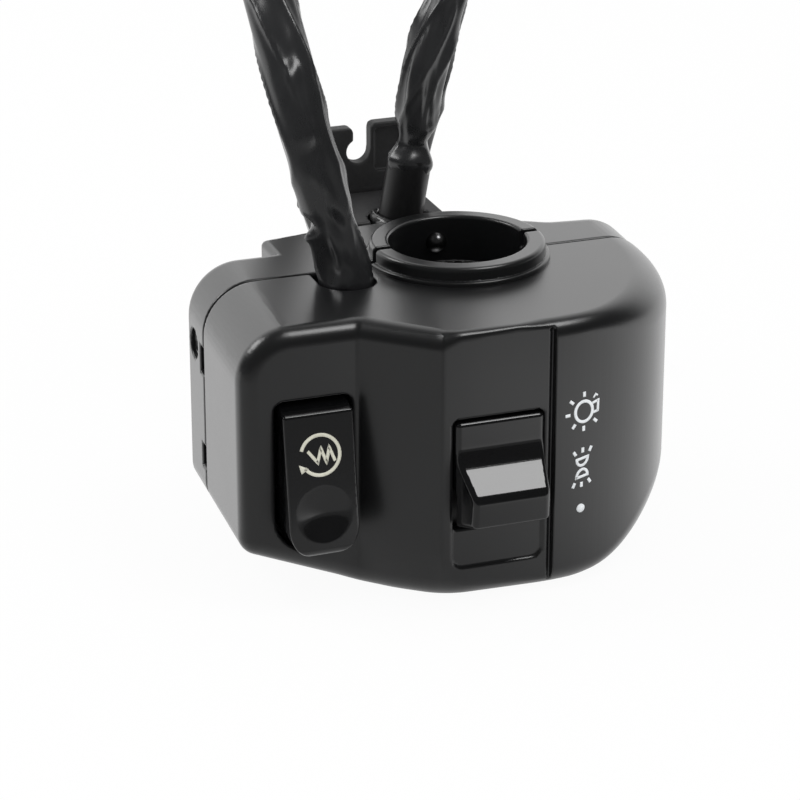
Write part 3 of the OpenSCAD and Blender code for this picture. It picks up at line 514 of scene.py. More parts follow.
@dataclass
class Case:
    """The two shells, in millimetres.

    The button's window has a middle, a foot, a half width and a top, and the slider's a left, a right, a
    foot and a top. The lead's notch has a place, a radius and a floor. The nose rounds the plan's front.
    """
    height: float = 45.5
    left: float = 43.2
    slant: float = 0.0524
    rise: float = 9.0
    right: float = 33.0
    right_top: float = 6.8
    right_foot: Point = (17.0, 14.5)
    front_foot: Point = (4.9, 4.3)
    wall: float = 2.4
    edge: float = 3.0
    gap: float = 0.15
    face_y: float = 23.5
    valley_x: float = 25.25
    valley_r: float = 0.7
    ridge_x: float = 14.8
    panel_y: float = 33.0
    panel_right: float = 3.6
    back_y: float = 12.5
    bulge_y: float = 20.7
    bore_r: float = 11.2
    tube_r: float = 13.9
    collar_r: float = 14.3
    collar_h: float = 2.9
    slit: float = 1.2
    nose: tuple = (2.0, -13.2, 20.5)
    swell: float = 0.91
    screws: tuple = ((-33.0, 11.2), (19.5, 12.0), (19.5, 36.0))
    screw_head_r: float = 4.3
    button: tuple = (-32.5, 14.5, 6.3, 33.9)
    slider: tuple = (-13.0, 2.0, 12.6, 31.1)
    lead: tuple = (-20.5, -4.7, 4.6, 36.5)

    def __post_init__(self) -> None:
        """Draws the outlines that the forms share."""
        h = self.height
        tilt = math.atan2(self.rise, self.left - 21.5)
        turned = 270 - math.degrees(tilt)
        low_z, soft = self.rise + 3.5 * (1 - math.sin(tilt)) / math.cos(tilt), 26.0
        left_side = [*arc(-self.left + 8.5, h - 8.5, 8.5, 90, 180, 16),
                     *arc(-self.left + 3.5, low_z, 3.5, 180, turned, 8),
                     *arc(soft * math.tan(tilt / 2) - 21.5, soft, soft, turned, 270, 8)]
        wide, tall = self.right_foot
        right_side = [*[(self.right - wide + wide * c, tall + tall * d)
                        for c, d in arc(0, 0, 1, -90, 0, 18)],
                      *arc(self.right - self.right_top, h - self.right_top, self.right_top, 0, 90, 12)]
        self.side_open: Flat = outline([*left_side, (80.0, 0.0), (80.0, h)])
        self.side_full: Flat = outline([*left_side, *right_side])
        ax, ay, ar = self.nose
        reach = math.hypot(-self.ridge_x - ax, -self.panel_y - ay)
        lean = math.degrees(math.atan2(ax + self.ridge_x, self.panel_y + ay))
        start = math.degrees(math.acos(ar / reach)) - lean
        curve = [*arc(ax, ay, ar, start - 90, -90, 4),
                 *[(ax + (self.right - ax) * c ** self.swell, (ay - ar) * (-d) ** self.swell)
                   for c, d in arc(0, 0, 1, -89, -1, 72)]]

        def seen_from_above(valley: float, ridge: float) -> Flat:
            front = softened([(-80, 40, 0), (-80, -self.face_y, 0), (-self.valley_x, -self.face_y, valley),
                              (-self.ridge_x, -self.panel_y, ridge), (ax, ay - ar - 0.05, 0)])[:-1]
            return outline([*front, *curve, (self.right, 40.0)])

        self.plan: Flat = seen_from_above(self.valley_r, 0.9)
        self.plan_foot: Flat = seen_from_above(9.0, 14.0)
        b = self.bulge_y
        self.bulge_plan: Flat = outline(softened([(-27.8, 0, 0), (11.3, 0, 0), (11.3, b, 3),
                                                  (-19, b - 1.1, 2), (-27.8, b - 2.6, 0.9)]))

    def rear_outside(self, x: Array, y: Array, z: Array) -> Array:
        """The rider's side of the case, as a solid."""
        plan, side = self.plan(x, y), self.side_open(x - y * self.slant, z)
        plan = plan + (self.plan_foot(x, y) - plan) * ease(-z, -9, -1)
        top = self.edge - 1.4 * ease(x, -15.5, -11.5) + ease(x, -3, 3)
        top = top + (self.right_top - self.edge) * ease(x, 9, 28)
        near = ease(x, -26, -16)
        wide = self.edge + (self.front_foot[0] - self.edge) * near
        tall = self.edge + (self.front_foot[1] - self.edge) * near
        wide = wide + (self.right_foot[0] - self.front_foot[0]) * ease(x, 7, 27)
        tall = tall + (self.right_foot[1] - self.front_foot[1]) * ease(x, 11, 31)
        return np.where(z > self.height / 2, both(plan, side, top), both(plan, side * wide / tall, wide))

    def front_outside(self, x: Array, y: Array, z: Array) -> Array:
        """The far side of the case, as a solid."""
        on = ease(x, 12, 30)
        back = y - self.back_y - 2.8 * ease(x, 5, 10) + 2 * ease(x, 15, 21)
        side = both(back, self.side_full(x - y * self.slant, z), self.edge + 2 * on)
        return either(side, both(self.bulge_plan(x, y), slab(z, 2, self.height), 1.0))

    def collar(self, x: Array, y: Array, z: Array) -> Array:
        """The ring round the bore, with the bead at its foot and a slit where the shells meet."""
        rho, top = np.hypot(x, y), self.height + self.collar_h
        ring = both(rho - self.collar_r, z - top, 0.7)
        bead = both(rho - self.collar_r - 0.75, z - self.height - 0.75, 0.35)
        form = np.maximum(np.minimum(ring, bead), self.height - 1.5 - z)
        slit = np.maximum(np.abs(y) - self.slit / 2, self.height + 0.1 - z)
        return self.bored(without(form, slit, 0.3), x, y, z)

    def collar_half(self, side: float) -> Field:
        """The collar's half on one shell.

        Args:
            side: -1 for the rear shell, 1 for the front shell.

        Returns:
            The half's form.
        """
        return lambda x, y, z: np.maximum(self.collar(x, y, z), self.gap - side * y)

    def bored(self, form: Array, x: Array, y: Array, z: Array) -> Array:
        """Cuts the bar's bore and the relief between its lands."""
        rho, top = np.hypot(x, y), self.height + self.collar_h
        form = without(form, rho - self.bore_r, 0.55)
        return without(form, both(rho - self.bore_r - 0.9, slab(z, 13, top - 8)), 0.2)

    def hollowed(self, form: Array, outside: Array, x: Array, y: Array, z: Array, boss: float) -> Array:
        """Leaves a wall, the bar's tube and the screw bosses."""
        kept = both(np.hypot(x, y) - self.tube_r, z - self.height + 1)
        for sx, sz in self.screws:
            kept = np.minimum(kept, np.hypot(x - sx, z - sz) - boss)
        return np.maximum(form, -np.maximum(outside + self.wall, -kept))

    def rear(self, x: Array, y: Array, z: Array) -> Array:
        """The rear shell."""
        outside = self.rear_outside(x, y, z)
        form = both(outside, y + self.gap, 0.35)
        form = self.hollowed(form, outside, x, y, z, 4.3)
        form = self.bored(form, x, y, z)
        panel = np.maximum(y + self.panel_y, slab(x, -self.ridge_x - 2, self.panel_right))
        form = without(form, panel, 0.25)
        left, right, foot, top = self.slider
        window = both(slab(x, left, right), slab(z, foot, top), 0.9)
        form = without(form, np.maximum(window, y + 27), 0.35)
        scoop = both(both(slab(x, left, right), slab(z, 6, 14), 1.8), y + self.panel_y - 0.45, 0.3)
        form = without(form, scoop, 0.45)
        groove = np.maximum(slab(x, self.panel_right - 0.5, self.panel_right), y + self.panel_y - 0.5)
        form = without(form, np.maximum(groove, z - self.height + 1.3), 0.1)
        mid, foot, half, top = self.button
        stadium = np.where(z < foot, np.hypot(x - mid, z - foot) - half,
                           both(np.abs(x - mid) - half, z - top, 1.6))
        form = without(form, np.maximum(stadium, y + 15), 0.6)
        lx, ly, r, floor = self.lead
        notch = np.minimum(np.hypot(x - lx, y - ly) - r, np.maximum(np.abs(x - lx) - r, ly - y))
        return without(form, np.maximum(notch, floor - z), 0.6)

    def front(self, x: Array, y: Array, z: Array) -> Array:
        """The front shell, with the shelf and the boss of the outlet tube."""
        outside = self.front_outside(x, y, z)
        form = both(outside, self.gap - y, 0.35)
        form = self.hollowed(form, outside, x, y, z, 5.2)
        shelf = both(both(slab(x, -14, 5), slab(z, 36.6, 42.1), 0.6), slab(y, 16.7, 34), 0.6)
        lean_x, lean_z = math.sin(OUTLET_LEAN), math.cos(OUTLET_LEAN)
        off, up = x - OUTLET_X, z - self.height
        along = off * lean_x + up * lean_z
        across = np.hypot(off * lean_z - up * lean_x, y - OUTLET_Y)
        boss = both(across - 5, slab(along, -14.2, 0), 0.5)
        form = either(either(form, shelf, 0.4), np.maximum(boss, 14 - y), 0.6)
        form = without(form, np.maximum(across - 3.75, -7 - along), 0.3)
        form = self.bored(form, x, y, z)
        for sx, sz in self.screws:
            head = np.hypot(x - sx, z - sz) - self.screw_head_r
            form = without(form, np.maximum(head, self.back_y - 3.6 - y), 0.4)
        mark = both(np.hypot(y - 6.5, z - 33.5) - 2.5, x + self.left - 1.4, 0.2)
        for low, high in ((30.2, 34.8), (13.9, 17.8)):
            mark = np.minimum(mark, both(both(slab(z, low, high), y - 2.4, 0.3), x + self.left - 1.2, 0.2))
        return without(form, mark, 0.3)

    def build(self) -> None:
        """Makes and dresses both shells and the collar's halves."""
        top = self.height + self.collar_h
        low, high = (-self.left - 1.3, -34, 0), (self.right, 0, self.height)
        rear = moulded("rear_case", self.rear, low, high, 0.45, 0.4)
        dress(rear, CASE_PLASTIC, Body.CASE, "case_plastic", "rear_shell")
        low, high = (-self.left, 0, 0), (self.right + 1.8, 34, top)
        front = moulded("front_case", self.front, low, high, 0.5, 0.4)
        dress(front, CASE_PLASTIC, Body.CASE, "case_plastic", "front_shell")
        r = self.collar_r + 1
        for name, side in (("rear_collar", -1.0), ("front_collar", 1.0)):
            back, front_y = sorted((0.0, side * r))
            low, high = (-r, back, self.height - 1.7), (r, front_y, top)
            ring = moulded(name, self.collar_half(side), low, high, 0.22, 0.5)
            dress(ring, CASE_PLASTIC, Body.CASE, "case_plastic")


@dataclass
class StartButton:
    """The rocking start button, in millimetres."""
    x: float = -32.5
    width: float = 11.4
    top: float = 31.8
    foot: float = 14.5
    face_y: float = -23.5
    back_y: float = -19.6
    pivot: Point = (-18.4, 36.0)

    def __post_init__(self) -> None:
        """Draws the section along the middle, in Y and Z."""
        low = self.foot - self.width / 2
        self.section: Flat = outline([
            (self.back_y, low), (self.back_y, self.top + 1.7), (-22.1, self.top + 1.5),
            *arc(self.face_y - 1.85, self.top + 0.25, 0.4, 110, 171, 6),
            *arc(self.face_y - 3.7, low + 2.6, 2.0, 189, 262, 8), (self.face_y, low)])

    def form(self, x: Array, y: Array, z: Array) -> Array:
        """The cap with its dimple, and the tongue and eye behind it."""
        half = self.width / 2
        plan = np.where(z < self.foot, np.hypot(x - self.x, z - self.foot), np.abs(x - self.x)) - half
        cap = both(self.section(y, z), plan, 0.4)
        dimple = np.sqrt((x - self.x) ** 2 + (y + 36.45) ** 2 + (z - self.foot - 3.3) ** 2) - 9
        cap = without(cap, dimple, 0.5)
        py, pz = self.pivot
        eye = both(np.hypot(y - py, z - pz) - 2.2, np.abs(x - self.x) - half, 0.3)
        tongue = both(both(slab(y, -20.8, py + 1), slab(z, self.top - 2, pz), 0.3),
                      np.abs(x - self.x) - half, 0.3)
        stops = both(both(slab(y, -20.5, self.back_y), slab(z, self.foot + 4, self.top - 4), 0.3),
                     np.abs(x - self.x) - 7.8, 0.3)
        form = np.minimum(np.minimum(cap, eye), np.minimum(tongue, stops))
        return without(form, np.hypot(y - py, z - pz) - 1.05)

    def build(self) -> bpy.types.Object:
        """Makes and dresses the button."""
        piece = moulded("start_cap", self.form, (-40.4, -29.3, 8.5), (-24.6, -16, 38.4), 0.28, 0.4)
        return dress(piece, GLOSS_PLASTIC, Body.BUTTON, "button_plastic", "start_button")


@dataclass
class LightSlider:
    """The knob of the lighting slider, in millimetres."""
    x: float = -5.5
    width: float = 14.6
    top: float = 30.8
    foot: float = 18.9
    panel_y: float = -33.0
    back_y: float = -30.2
    reach: float = 6.4
    crest: float = 19.9
    ledge: float = 0.9
    flare: float = 5.0
    draft: float = 0.19

    def __post_init__(self) -> None:
        """Draws the section along the middle, in Y and Z."""
        flat, tip = self.panel_y - 0.8, self.panel_y - self.reach
        self.section: Flat = outline(softened([
            (self.back_y, self.foot, 0), (self.back_y, self.top, 0), (flat, self.top, 0.6),
            (flat, self.crest + (flat - tip) * self.ledge, self.flare), (tip, self.crest, 2.2),
            (tip + 0.4, self.foot - 3.7, 0.7), (self.panel_y - 0.3, self.foot - 5.5, 0),
            (self.panel_y - 0.3, self.foot, 0)], 14))

    def form(self, x: Array, y: Array, z: Array) -> Array:
        """The knob with drafted flanks and rounded edges."""
        half = self.width / 2 - self.draft * np.clip(self.panel_y - 0.8 - y, 0, self.reach)
        return both(self.section(y, z), np.abs(x - self.x) - half, 0.8)

    def build(self) -> bpy.types.Object:
        """Makes and dresses the knob."""
        piece = moulded("light_knob", self.form, (-12.8, -39.5, 13.3), (1.8, -30.1, 30.9), 0.25, 0.4)
        return dress(piece, GLOSS_PLASTIC, Body.SLIDER, "button_plastic", "light_slider")


@dataclass
class Signs:
    """Painted control signs: strokes in millimetres, across and up from each sign's middle."""
    case: Case
    button: StartButton
    stroke: float = 0.5

    @staticmethod
    def ribbon(path: Sequence[Point], width: float, closed: bool = False) -> tuple[Array, list[list[int]]]:
        """A stroke as a row of four-sided faces.

        Args:
            path: points along the stroke.
            width: width of the stroke.
            closed: whether the end joins the start.

        Returns:
            Flat points and faces.
        """
        line = np.array([*path, path[0]] if closed else path, float)
        steps = np.concatenate([[0], np.cumsum(np.linalg.norm(np.diff(line, axis=0), axis=1))])
        at = np.unique(np.concatenate([steps, np.arange(0, steps[-1], 0.25)]))
        line = np.stack([np.interp(at, steps, line[:, k]) for k in (0, 1)], 1)
        if closed:
            line = line[:-1]
            before, after = np.roll(line, 1, 0), np.roll(line, -1, 0)
        else:
            before, after = np.vstack([line[:1], line[:-1]]), np.vstack([line[1:], line[-1:]])

        def unit(v: Array) -> Array:
            return v / np.maximum(np.linalg.norm(v, axis=1), 1e-9)[:, None]

        into, on = unit(line - before), unit(after - line)
        into = np.where(np.abs(into).sum(1, keepdims=True) < 1e-6, on, into)
        on = np.where(np.abs(on).sum(1, keepdims=True) < 1e-6, into, on)
        way = unit(into + on)
        side = np.stack([-way[:, 1], way[:, 0]], 1)
        stretch = 1 / np.maximum((way * on).sum(1), 0.5)
        off = side * (width / 2 * stretch)[:, None]
        n = len(line)
        points = np.concatenate([line - off, line + off])
        last = n if closed else n - 1
        return points, [[i, (i + 1) % n, n + (i + 1) % n, n + i] for i in range(last)]

    @staticmethod
    def disc(at: Point, r: float, n: int = 24) -> tuple[Array, list[list[int]]]:
        """A filled round spot."""
        ring = np.array(arc(at[0], at[1], r, 0, 360 - 360 / n, n - 1))
        return np.vstack([[at], ring]), [[0, 1 + i, 1 + (i + 1) % n] for i in range(n)]

    def laid(self, name: str, parts: Sequence[tuple[Array, list[list[int]]]], at: Point, form: Field,
             start: float) -> bpy.types.Object:
        """Lays flat strokes on the rider's side of a form as thin paint.

        Args:
            name: name of the piece.
            parts: flat points and faces of each stroke.
            at: the sign's middle, in X and Z.
            form: the form that carries it.
            start: a Y in front of the form.

        Returns:
            The new object.
        """
        points: list[Array] = []
        faces: list[list[int]] = []
        count = 0
        for flat, quads in parts:
            x, z = flat[:, 0] + at[0], flat[:, 1] + at[1]
            y = np.full(len(x), start)
            for _ in range(60):
                y = y + 0.8 * form(x, y, z)
            base = np.stack([x, y, z], 1)
            up = slope(form, base)
            n = len(x)
            points += [base + up * 0.05, base - up * 0.06]
            edges: dict[tuple[int, int], int] = {}
            for q in quads:
                for a, b in zip(q, [*q[1:], q[0]]):
                    edges[(a, b)] = edges.get((a, b), 0) + 1
            faces += [[count + i for i in q] for q in quads]
            faces += [[count + n + i for i in reversed(q)] for q in quads]
            faces += [[count + b, count + a, count + n + a, count + n + b]
                      for a, b in edges if (b, a) not in edges]
            count += 2 * n
        return mesh_piece(name, np.concatenate(points), faces)

    def build(self) -> None:
        """Makes the four signs."""
        w = self.stroke
        ring = self.ribbon([(0.9 * c, d) for c, d in arc(0, 0, 1.72, 0, 354, 59)], w, True)
        rays = [self.ribbon([(r * math.cos(a), r * math.sin(a)) for r in (2.45, 3.3)], w)
                for a in map(math.radians, (90, 140, 185, 232, 270, 318))]
        cap = self.ribbon([(1.5, 1.1), (2.6, 1.38), (2.55, -0.36), (1.7, -0.5)], 0.42)
        tick = self.ribbon([(1.7, 1.95), (2.1, 2.5), (2.5, 2.2)], 0.3)
        lamps = []
        for flip in (1, -1):
            lens = [(flip * math.cos(t), flip * (1.55 - 1.2 * math.sin(t) + 0.17 * math.cos(t)))
                    for t in np.linspace(0, math.pi, 16)]
            lamps.append(self.ribbon(lens, w * 0.9, True))
            for ax, az, bx, bz in ((-1.15, 2.15, -1.6, 2.85), (0.05, 2.5, 0.05, 3.35),
                                   (1.25, 2.5, 1.65, 3.3)):
                lamps.append(self.ribbon([(ax * flip, az * flip), (bx * flip, bz * flip)], w))
        for name, parts, at in (("sign_headlamp", [ring, cap, tick, *rays], (8.62, 29.87)),
                                ("sign_position", lamps, (8.5, 20.4)),
                                ("sign_off", [self.disc((0, 0), 0.73)], (8.4, 13.4))):
            sign = self.laid(name, parts, at, self.case.rear_outside, -36.0)
            dress(sign, WHITE_PAINT, Body.CASE, None)
        loop = self.ribbon(arc(0, 0, 3.15, 163, -145, 60), 0.55)
        arrow = (np.array([(-3.55, -1.15), (-1.95, -1.95), (-3.2, -2.65)]), [[0, 2, 1]])
        zig = self.ribbon([(-2.0, 0.8), (-0.5, -1.15), (0.15, 1.0), (0.95, -1.25), (1.5, 1.05),
                           (2.35, -1.2)], 0.5)
        start = self.laid("sign_start", [loop, arrow, zig], (-32.6, 25.9), self.button.form, -31.0)
        dress(start, CREAM_PAINT, Body.BUTTON, None)


@dataclass(frozen=True)
class Fold:
    """A dent or swelling in a sleeve.

    Fields give its place along the sleeve in millimetres, the turn from the camera's side in degrees, its
    half length, half spread, height, and how far it turns in each millimetre.
    """
    along: float
    turn: float
    half: float
    spread: float
    height: float
    twist: float = 0.0

    def lift(self, s: Array, turn: Array) -> Array:
        """Height of the fold over the sleeve."""
        off = (turn - self.turn - self.twist * (s - self.along) + 180) % 360 - 180
        return self.height * np.exp(-((s - self.along) / self.half) ** 2 - (off / self.spread) ** 2)


@dataclass
class Sleeve:
    """A creased film sleeve that follows a route of points, in millimetres."""
    name: str
    node: str
    connector: str
    route: Sequence[tuple[float, float, float]]
    wide: float
    deep: float
    folds: Sequence[Fold]
    necks: Sequence[tuple[float, float, float]] = ()
    lobes: float = 0.0
    lobe_count: int = 4
    lobe_from: float = 0.0
    crease: float = 0.5
    crumple: float = 0.36
    seed: int = 5
    sides: int = 72

    def line(self, step: float) -> Array:
        """A smooth line through the route's points, sampled about every step."""
        p = np.array(self.route, float)
        p = np.vstack([2 * p[0] - p[1], p, 2 * p[-1] - p[-2]])
        out = []
        for a, b, c, d in zip(p, p[1:], p[2:], p[3:]):
            n = max(2, int(round(np.linalg.norm(c - b) / step)))
            t = np.linspace(0, 1, n, endpoint=False)[:, None]
            out.append(0.5 * (2 * b + (c - a) * t + (2 * a - 5 * b + 4 * c - d) * t ** 2
                              + (3 * b - a - 3 * c + d) * t ** 3))
        return np.vstack([*out, p[-2][None]])

    def build(self, stage_right: Vector) -> bpy.types.Object:
        """Makes the sleeve and hides the CAD lead that it stands for.

        Args:
            stage_right: the camera's right, from which turns are counted.

        Returns:
            The new object.
        """
        mid = self.line(0.6)
        way = np.gradient(mid, axis=0)
        way /= np.linalg.norm(way, axis=1)[:, None]
        s = np.concatenate([[0], np.cumsum(np.linalg.norm(np.diff(mid, axis=0), axis=1))])
        side = np.zeros_like(mid)
        last = np.array(stage_right)
        for i, t in enumerate(way):
            last = last - t * (last @ t)
            last = last / np.linalg.norm(last)
            side[i] = last
        near = np.cross(side, way)
        turn = np.linspace(-180, 180, self.sides, endpoint=False)
        a = np.radians(turn)
        ss, tt = np.meshgrid(s, turn, indexing="ij")
        lift = sum(f.lift(ss, tt) for f in self.folds)
        rng = np.random.RandomState(self.seed)
        for _ in range(int(s[-1] / 5)):
            fold = Fold(rng.uniform(self.lobe_from, s[-1]), rng.uniform(-180, 180), rng.uniform(2, 7),
                        rng.uniform(10, 30), rng.uniform(-0.28, 0.16), rng.uniform(-5, 5))
            lift = lift + fold.lift(ss, tt)
        wave = np.zeros_like(ss)
        for _ in range(5):
            phase = rng.uniform(0, 6.28)
            wave = wave + np.sin(rng.uniform(0.08, self.crumple) * ss + phase
                                 + 0.9 * np.sin(0.11 * ss + phase)
                                 + rng.randint(1, 4) * rng.choice((-1, 1)) * np.radians(tt))
        lift = lift + self.crease * (np.clip(1 - np.abs(wave) / 2.2, 0, 1) ** 2 - 0.3)
        if self.lobes:
            on = ease(ss, self.lobe_from, self.lobe_from + 6)
            lift = lift + on * self.lobes * np.cos(np.radians(self.lobe_count * tt + 2.2 * ss)
                                                   + 0.8 * np.sin(ss / 9.0))
        squeeze = np.ones_like(s)
        for at, half, share in self.necks:
            squeeze = squeeze - share * np.exp(-((s - at) / half) ** 2)
        calm = ease(s, 0.0, 3.0) * ease(s[-1] - s, 0.0, 4.0)
        across = (self.wide * squeeze)[:, None] + lift * calm[:, None]
        depth = (self.deep * squeeze)[:, None] + lift * calm[:, None]
        ring = (mid[:, None] + side[:, None] * (np.sin(a) * across)[..., None]
                + near[:, None] * (np.cos(a) * depth)[..., None])
        rows, n = ring.shape[:2]
        k = np.arange(rows - 1)[:, None] * n + np.arange(n)
        on = np.arange(rows - 1)[:, None] * n + (np.arange(n) + 1) % n
        faces = np.stack([k, on, on + n, k + n], -1).reshape(-1, 4).tolist()
        faces += [list(range(n))[::-1], [(rows - 1) * n + i for i in range(n)]]
        piece = mesh_piece(self.name, ring.reshape(-1, 3), faces)
        dress(piece, SLEEVE_FILM, Body.CASE, "lead_sleeve", self.node)
        LOG.info("%s: %.0f mm long", self.name, s[-1])
        return piece


MAIN_ROUTE = (
    (-20.5, -4.7, 38), (-20.7, -4.7, 45), (-22.4, -4.5, 53), (-24.5, -3.5, 62), (-26.5, -1, 71),
    (-27.5, 3, 79.5), (-28, 9, 87), (-27.5, 17, 92.5), (-26, 26.5, 96), (-24, 36.5, 96.5),
    (-21, 46, 94), (-17.5, 54, 88.5), (-14.5, 60, 81), (-11, 64, 72), (-8, 66, 62),
    (-5, 67, 52), (-2.5, 67.5, 42), (0, 68.5, 32.5), (3.5, 71, 24), (9, 74.5, 16.5),
    (15, 78.5, 10.5), (22, 82, 6.5), (30, 84, 4.8), (36, 84.5, 4.5), (41, 84.5, 4.5))
LAMP_ROUTE = (
    (-2.87, 22, 40), (-1.81, 22, 46), (-0.05, 22, 56), (0.9, 22, 62.5), (2.5, 22.3, 70.5), (5.8, 24.5, 78),
    (10.5, 29, 84.5), (15, 36, 88.5), (18.5, 44, 89.5), (21.5, 52, 87), (23.5, 58.5, 81.5),
    (23, 62.5, 74), (22, 64.5, 65.5), (20.5, 65.5, 57), (18.5, 66, 48.5), (16.5, 66.5, 40),
    (14.5, 66.5, 31.5), (13.5, 65.5, 23.5), (14.5, 62.5, 16), (18.5, 58.5, 9.5),
    (23, 55.5, 5.2), (28.5, 53.5, 3.7), (33, 52.5, 3.6), (37, 52.5, 3.6))
MAIN_FOLDS = (
    Fold(12.5, -28, 4.0, 32, -1.5), Fold(8.2, -8, 1.6, 26, 0.7, 6), Fold(18.2, -82, 1.2, 30, -1.2),
    Fold(16.4, -70, 0.9, 26, 0.8), Fold(13.0, 32, 5.0, 14, 0.45, 2), Fold(20.0, 30, 3.0, 16, 0.5, -4),
    Fold(19.0, 8, 3.0, 18, -0.5, -4), Fold(29.5, 8, 1.6, 22, -0.6, 5), Fold(32.0, 2, 1.4, 25, 0.35, 4),
    Fold(30.0, 52, 14, 10, 0.5, 0.6), Fold(30.0, 28, 13, 14, -0.55, 0.6), Fold(38.0, 58, 3.0, 10, 0.4, -1),
    Fold(41.0, 6, 2.5, 20, 0.4, 6), Fold(44.0, 20, 2.0, 26, -0.5, 6), Fold(24.0, -34, 5, 26, 0.25),
    Fold(36.0, -30, 7, 30, 0.25), Fold(24.5, 10, 2.0, 12, 0.4, -6))
LAMP_FOLDS = (
    Fold(15.4, -20, 1.8, 46, 0.75), Fold(15.0, 70, 1.6, 24, 0.35), Fold(18.0, -20, 1.0, 60, -0.5, 14),
    Fold(19.4, 10, 1.0, 40, 0.55, 18), Fold(21.4, 50, 1.2, 30, 0.4, 14), Fold(27.0, 5, 5.0, 9, 0.45, -2),
    Fold(27.0, 40, 5.0, 9, 0.4, -3), Fold(28.0, -35, 5.0, 12, 0.35, -1))


@dataclass
class Bracket:
    """The forked cable bracket behind the case, in millimetres."""
    left: float = -14.0
    right: float = 6.0
    slot_x: float = -3.6
    slot_w: float = 4.2
    lip: float = 0.8
    seat: float = 4.3
    top: float = 45.5
    fork: float = 11.2
    back: float = 41.0
    thick: float = 2.8

    def form(self, x: Array, y: Array, z: Array) -> Array:
        """The arm, the upright and its slot."""
        arm = both(both(slab(x, self.left, self.right), slab(z, self.top - 3.4, self.top - 0.2), 0.6),
                   slab(y, 21.0, self.back), 0.5)
        lean = (x - OUTLET_X) * math.cos(OUTLET_LEAN) - (z - self.top) * math.sin(OUTLET_LEAN)
        arm = without(arm, np.hypot(lean, y - OUTLET_Y) - 5.3, 0.3)
        seat = self.top + self.seat + self.slot_w / 2
        plate = both(slab(x, self.left, self.right), slab(z, self.top - 3.4, seat), 0.6)
        peak, slot_right = self.top + self.fork, self.slot_x + self.slot_w / 2
        left = both(slab(x, self.left + 4, self.slot_x - self.lip), slab(z, self.top, peak - 0.5), 1.1)
        right = both(slab(x, slot_right, self.right - 0.5), slab(z, self.top, peak), 1.2)
        plate = either(either(plate, left, 1.6), right, 0.4)
        round_seat = np.hypot(x - self.slot_x, z - seat) - self.slot_w / 2
        mouth = np.maximum(slab(x, self.slot_x - self.lip, slot_right), seat - z)
        plate = without(plate, np.minimum(round_seat, mouth), 0.3)
        plate = both(plate, slab(y, self.back - self.thick, self.back), 0.5)
        form = either(arm, plate, 0.4)
        groove = both(slab(x, self.left + 1.5, self.right - 1.5),
                      both(slab(y, self.back - self.thick - 2, self.back - self.thick), self.top - 1.8 - z))
        form = without(form, groove, 0.2)
        panel = both(slab(x, slot_right + 0.8, self.right - 1.4), slab(z, self.top + 2.6, peak - 0.9), 0.8)
        panel = both(panel, y - self.back + self.thick - 0.8)
        return without(form, panel, 0.25)

    def build(self) -> None:
        """Makes and dresses the bracket."""
        piece = moulded("fork_bracket", self.form, (-14, 20.8, 42), (6, 41, 57.2), 0.35, 0.4)
        dress(piece, BRACKET_PAINT, Body.CASE, "bracket_metal", "cable_bracket")


@dataclass
class Fittings:
    """CAD nodes that stay as they are, with the finish of each."""
    finishes: tuple = (
        ("case_screws", PLATED_STEEL), ("locating_pin", DARK_STEEL), ("bracket_screws", PLATED_STEEL),
        ("outlet_tube", OUTLET_RUBBER), ("start_pivot_pin", PLATED_STEEL), ("start_spring", SPRING_WIRE),
        ("start_contact", BRASS), ("start_base", PHENOLIC), ("start_terminals", BRASS),
        ("start_base_screw", PLATED_STEEL), ("light_carrier", OUTLET_RUBBER), ("light_wiper", BRASS),
        ("detent_ball", PLATED_STEEL), ("detent_spring", SPRING_WIRE), ("light_base", PHENOLIC),
        ("light_contacts", BRASS), ("light_base_screws", PLATED_STEEL), ("lead_grommet", OUTLET_RUBBER),
        ("start_wires", WIRE_YELLOW), ("lamp_wires", WIRE_RED), ("main_connector", NYLON),
        ("lamp_connector", NYLON))

    def build(self) -> None:
        """Gives each node its finish."""
        for name, finish in self.finishes:
            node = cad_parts[name]
            if not node.material_slots:
                node.data.materials.append(finish.material())
            for place in node.material_slots:
                place.material = finish.material()
            LOG.info("%s: %s", name, finish.name)


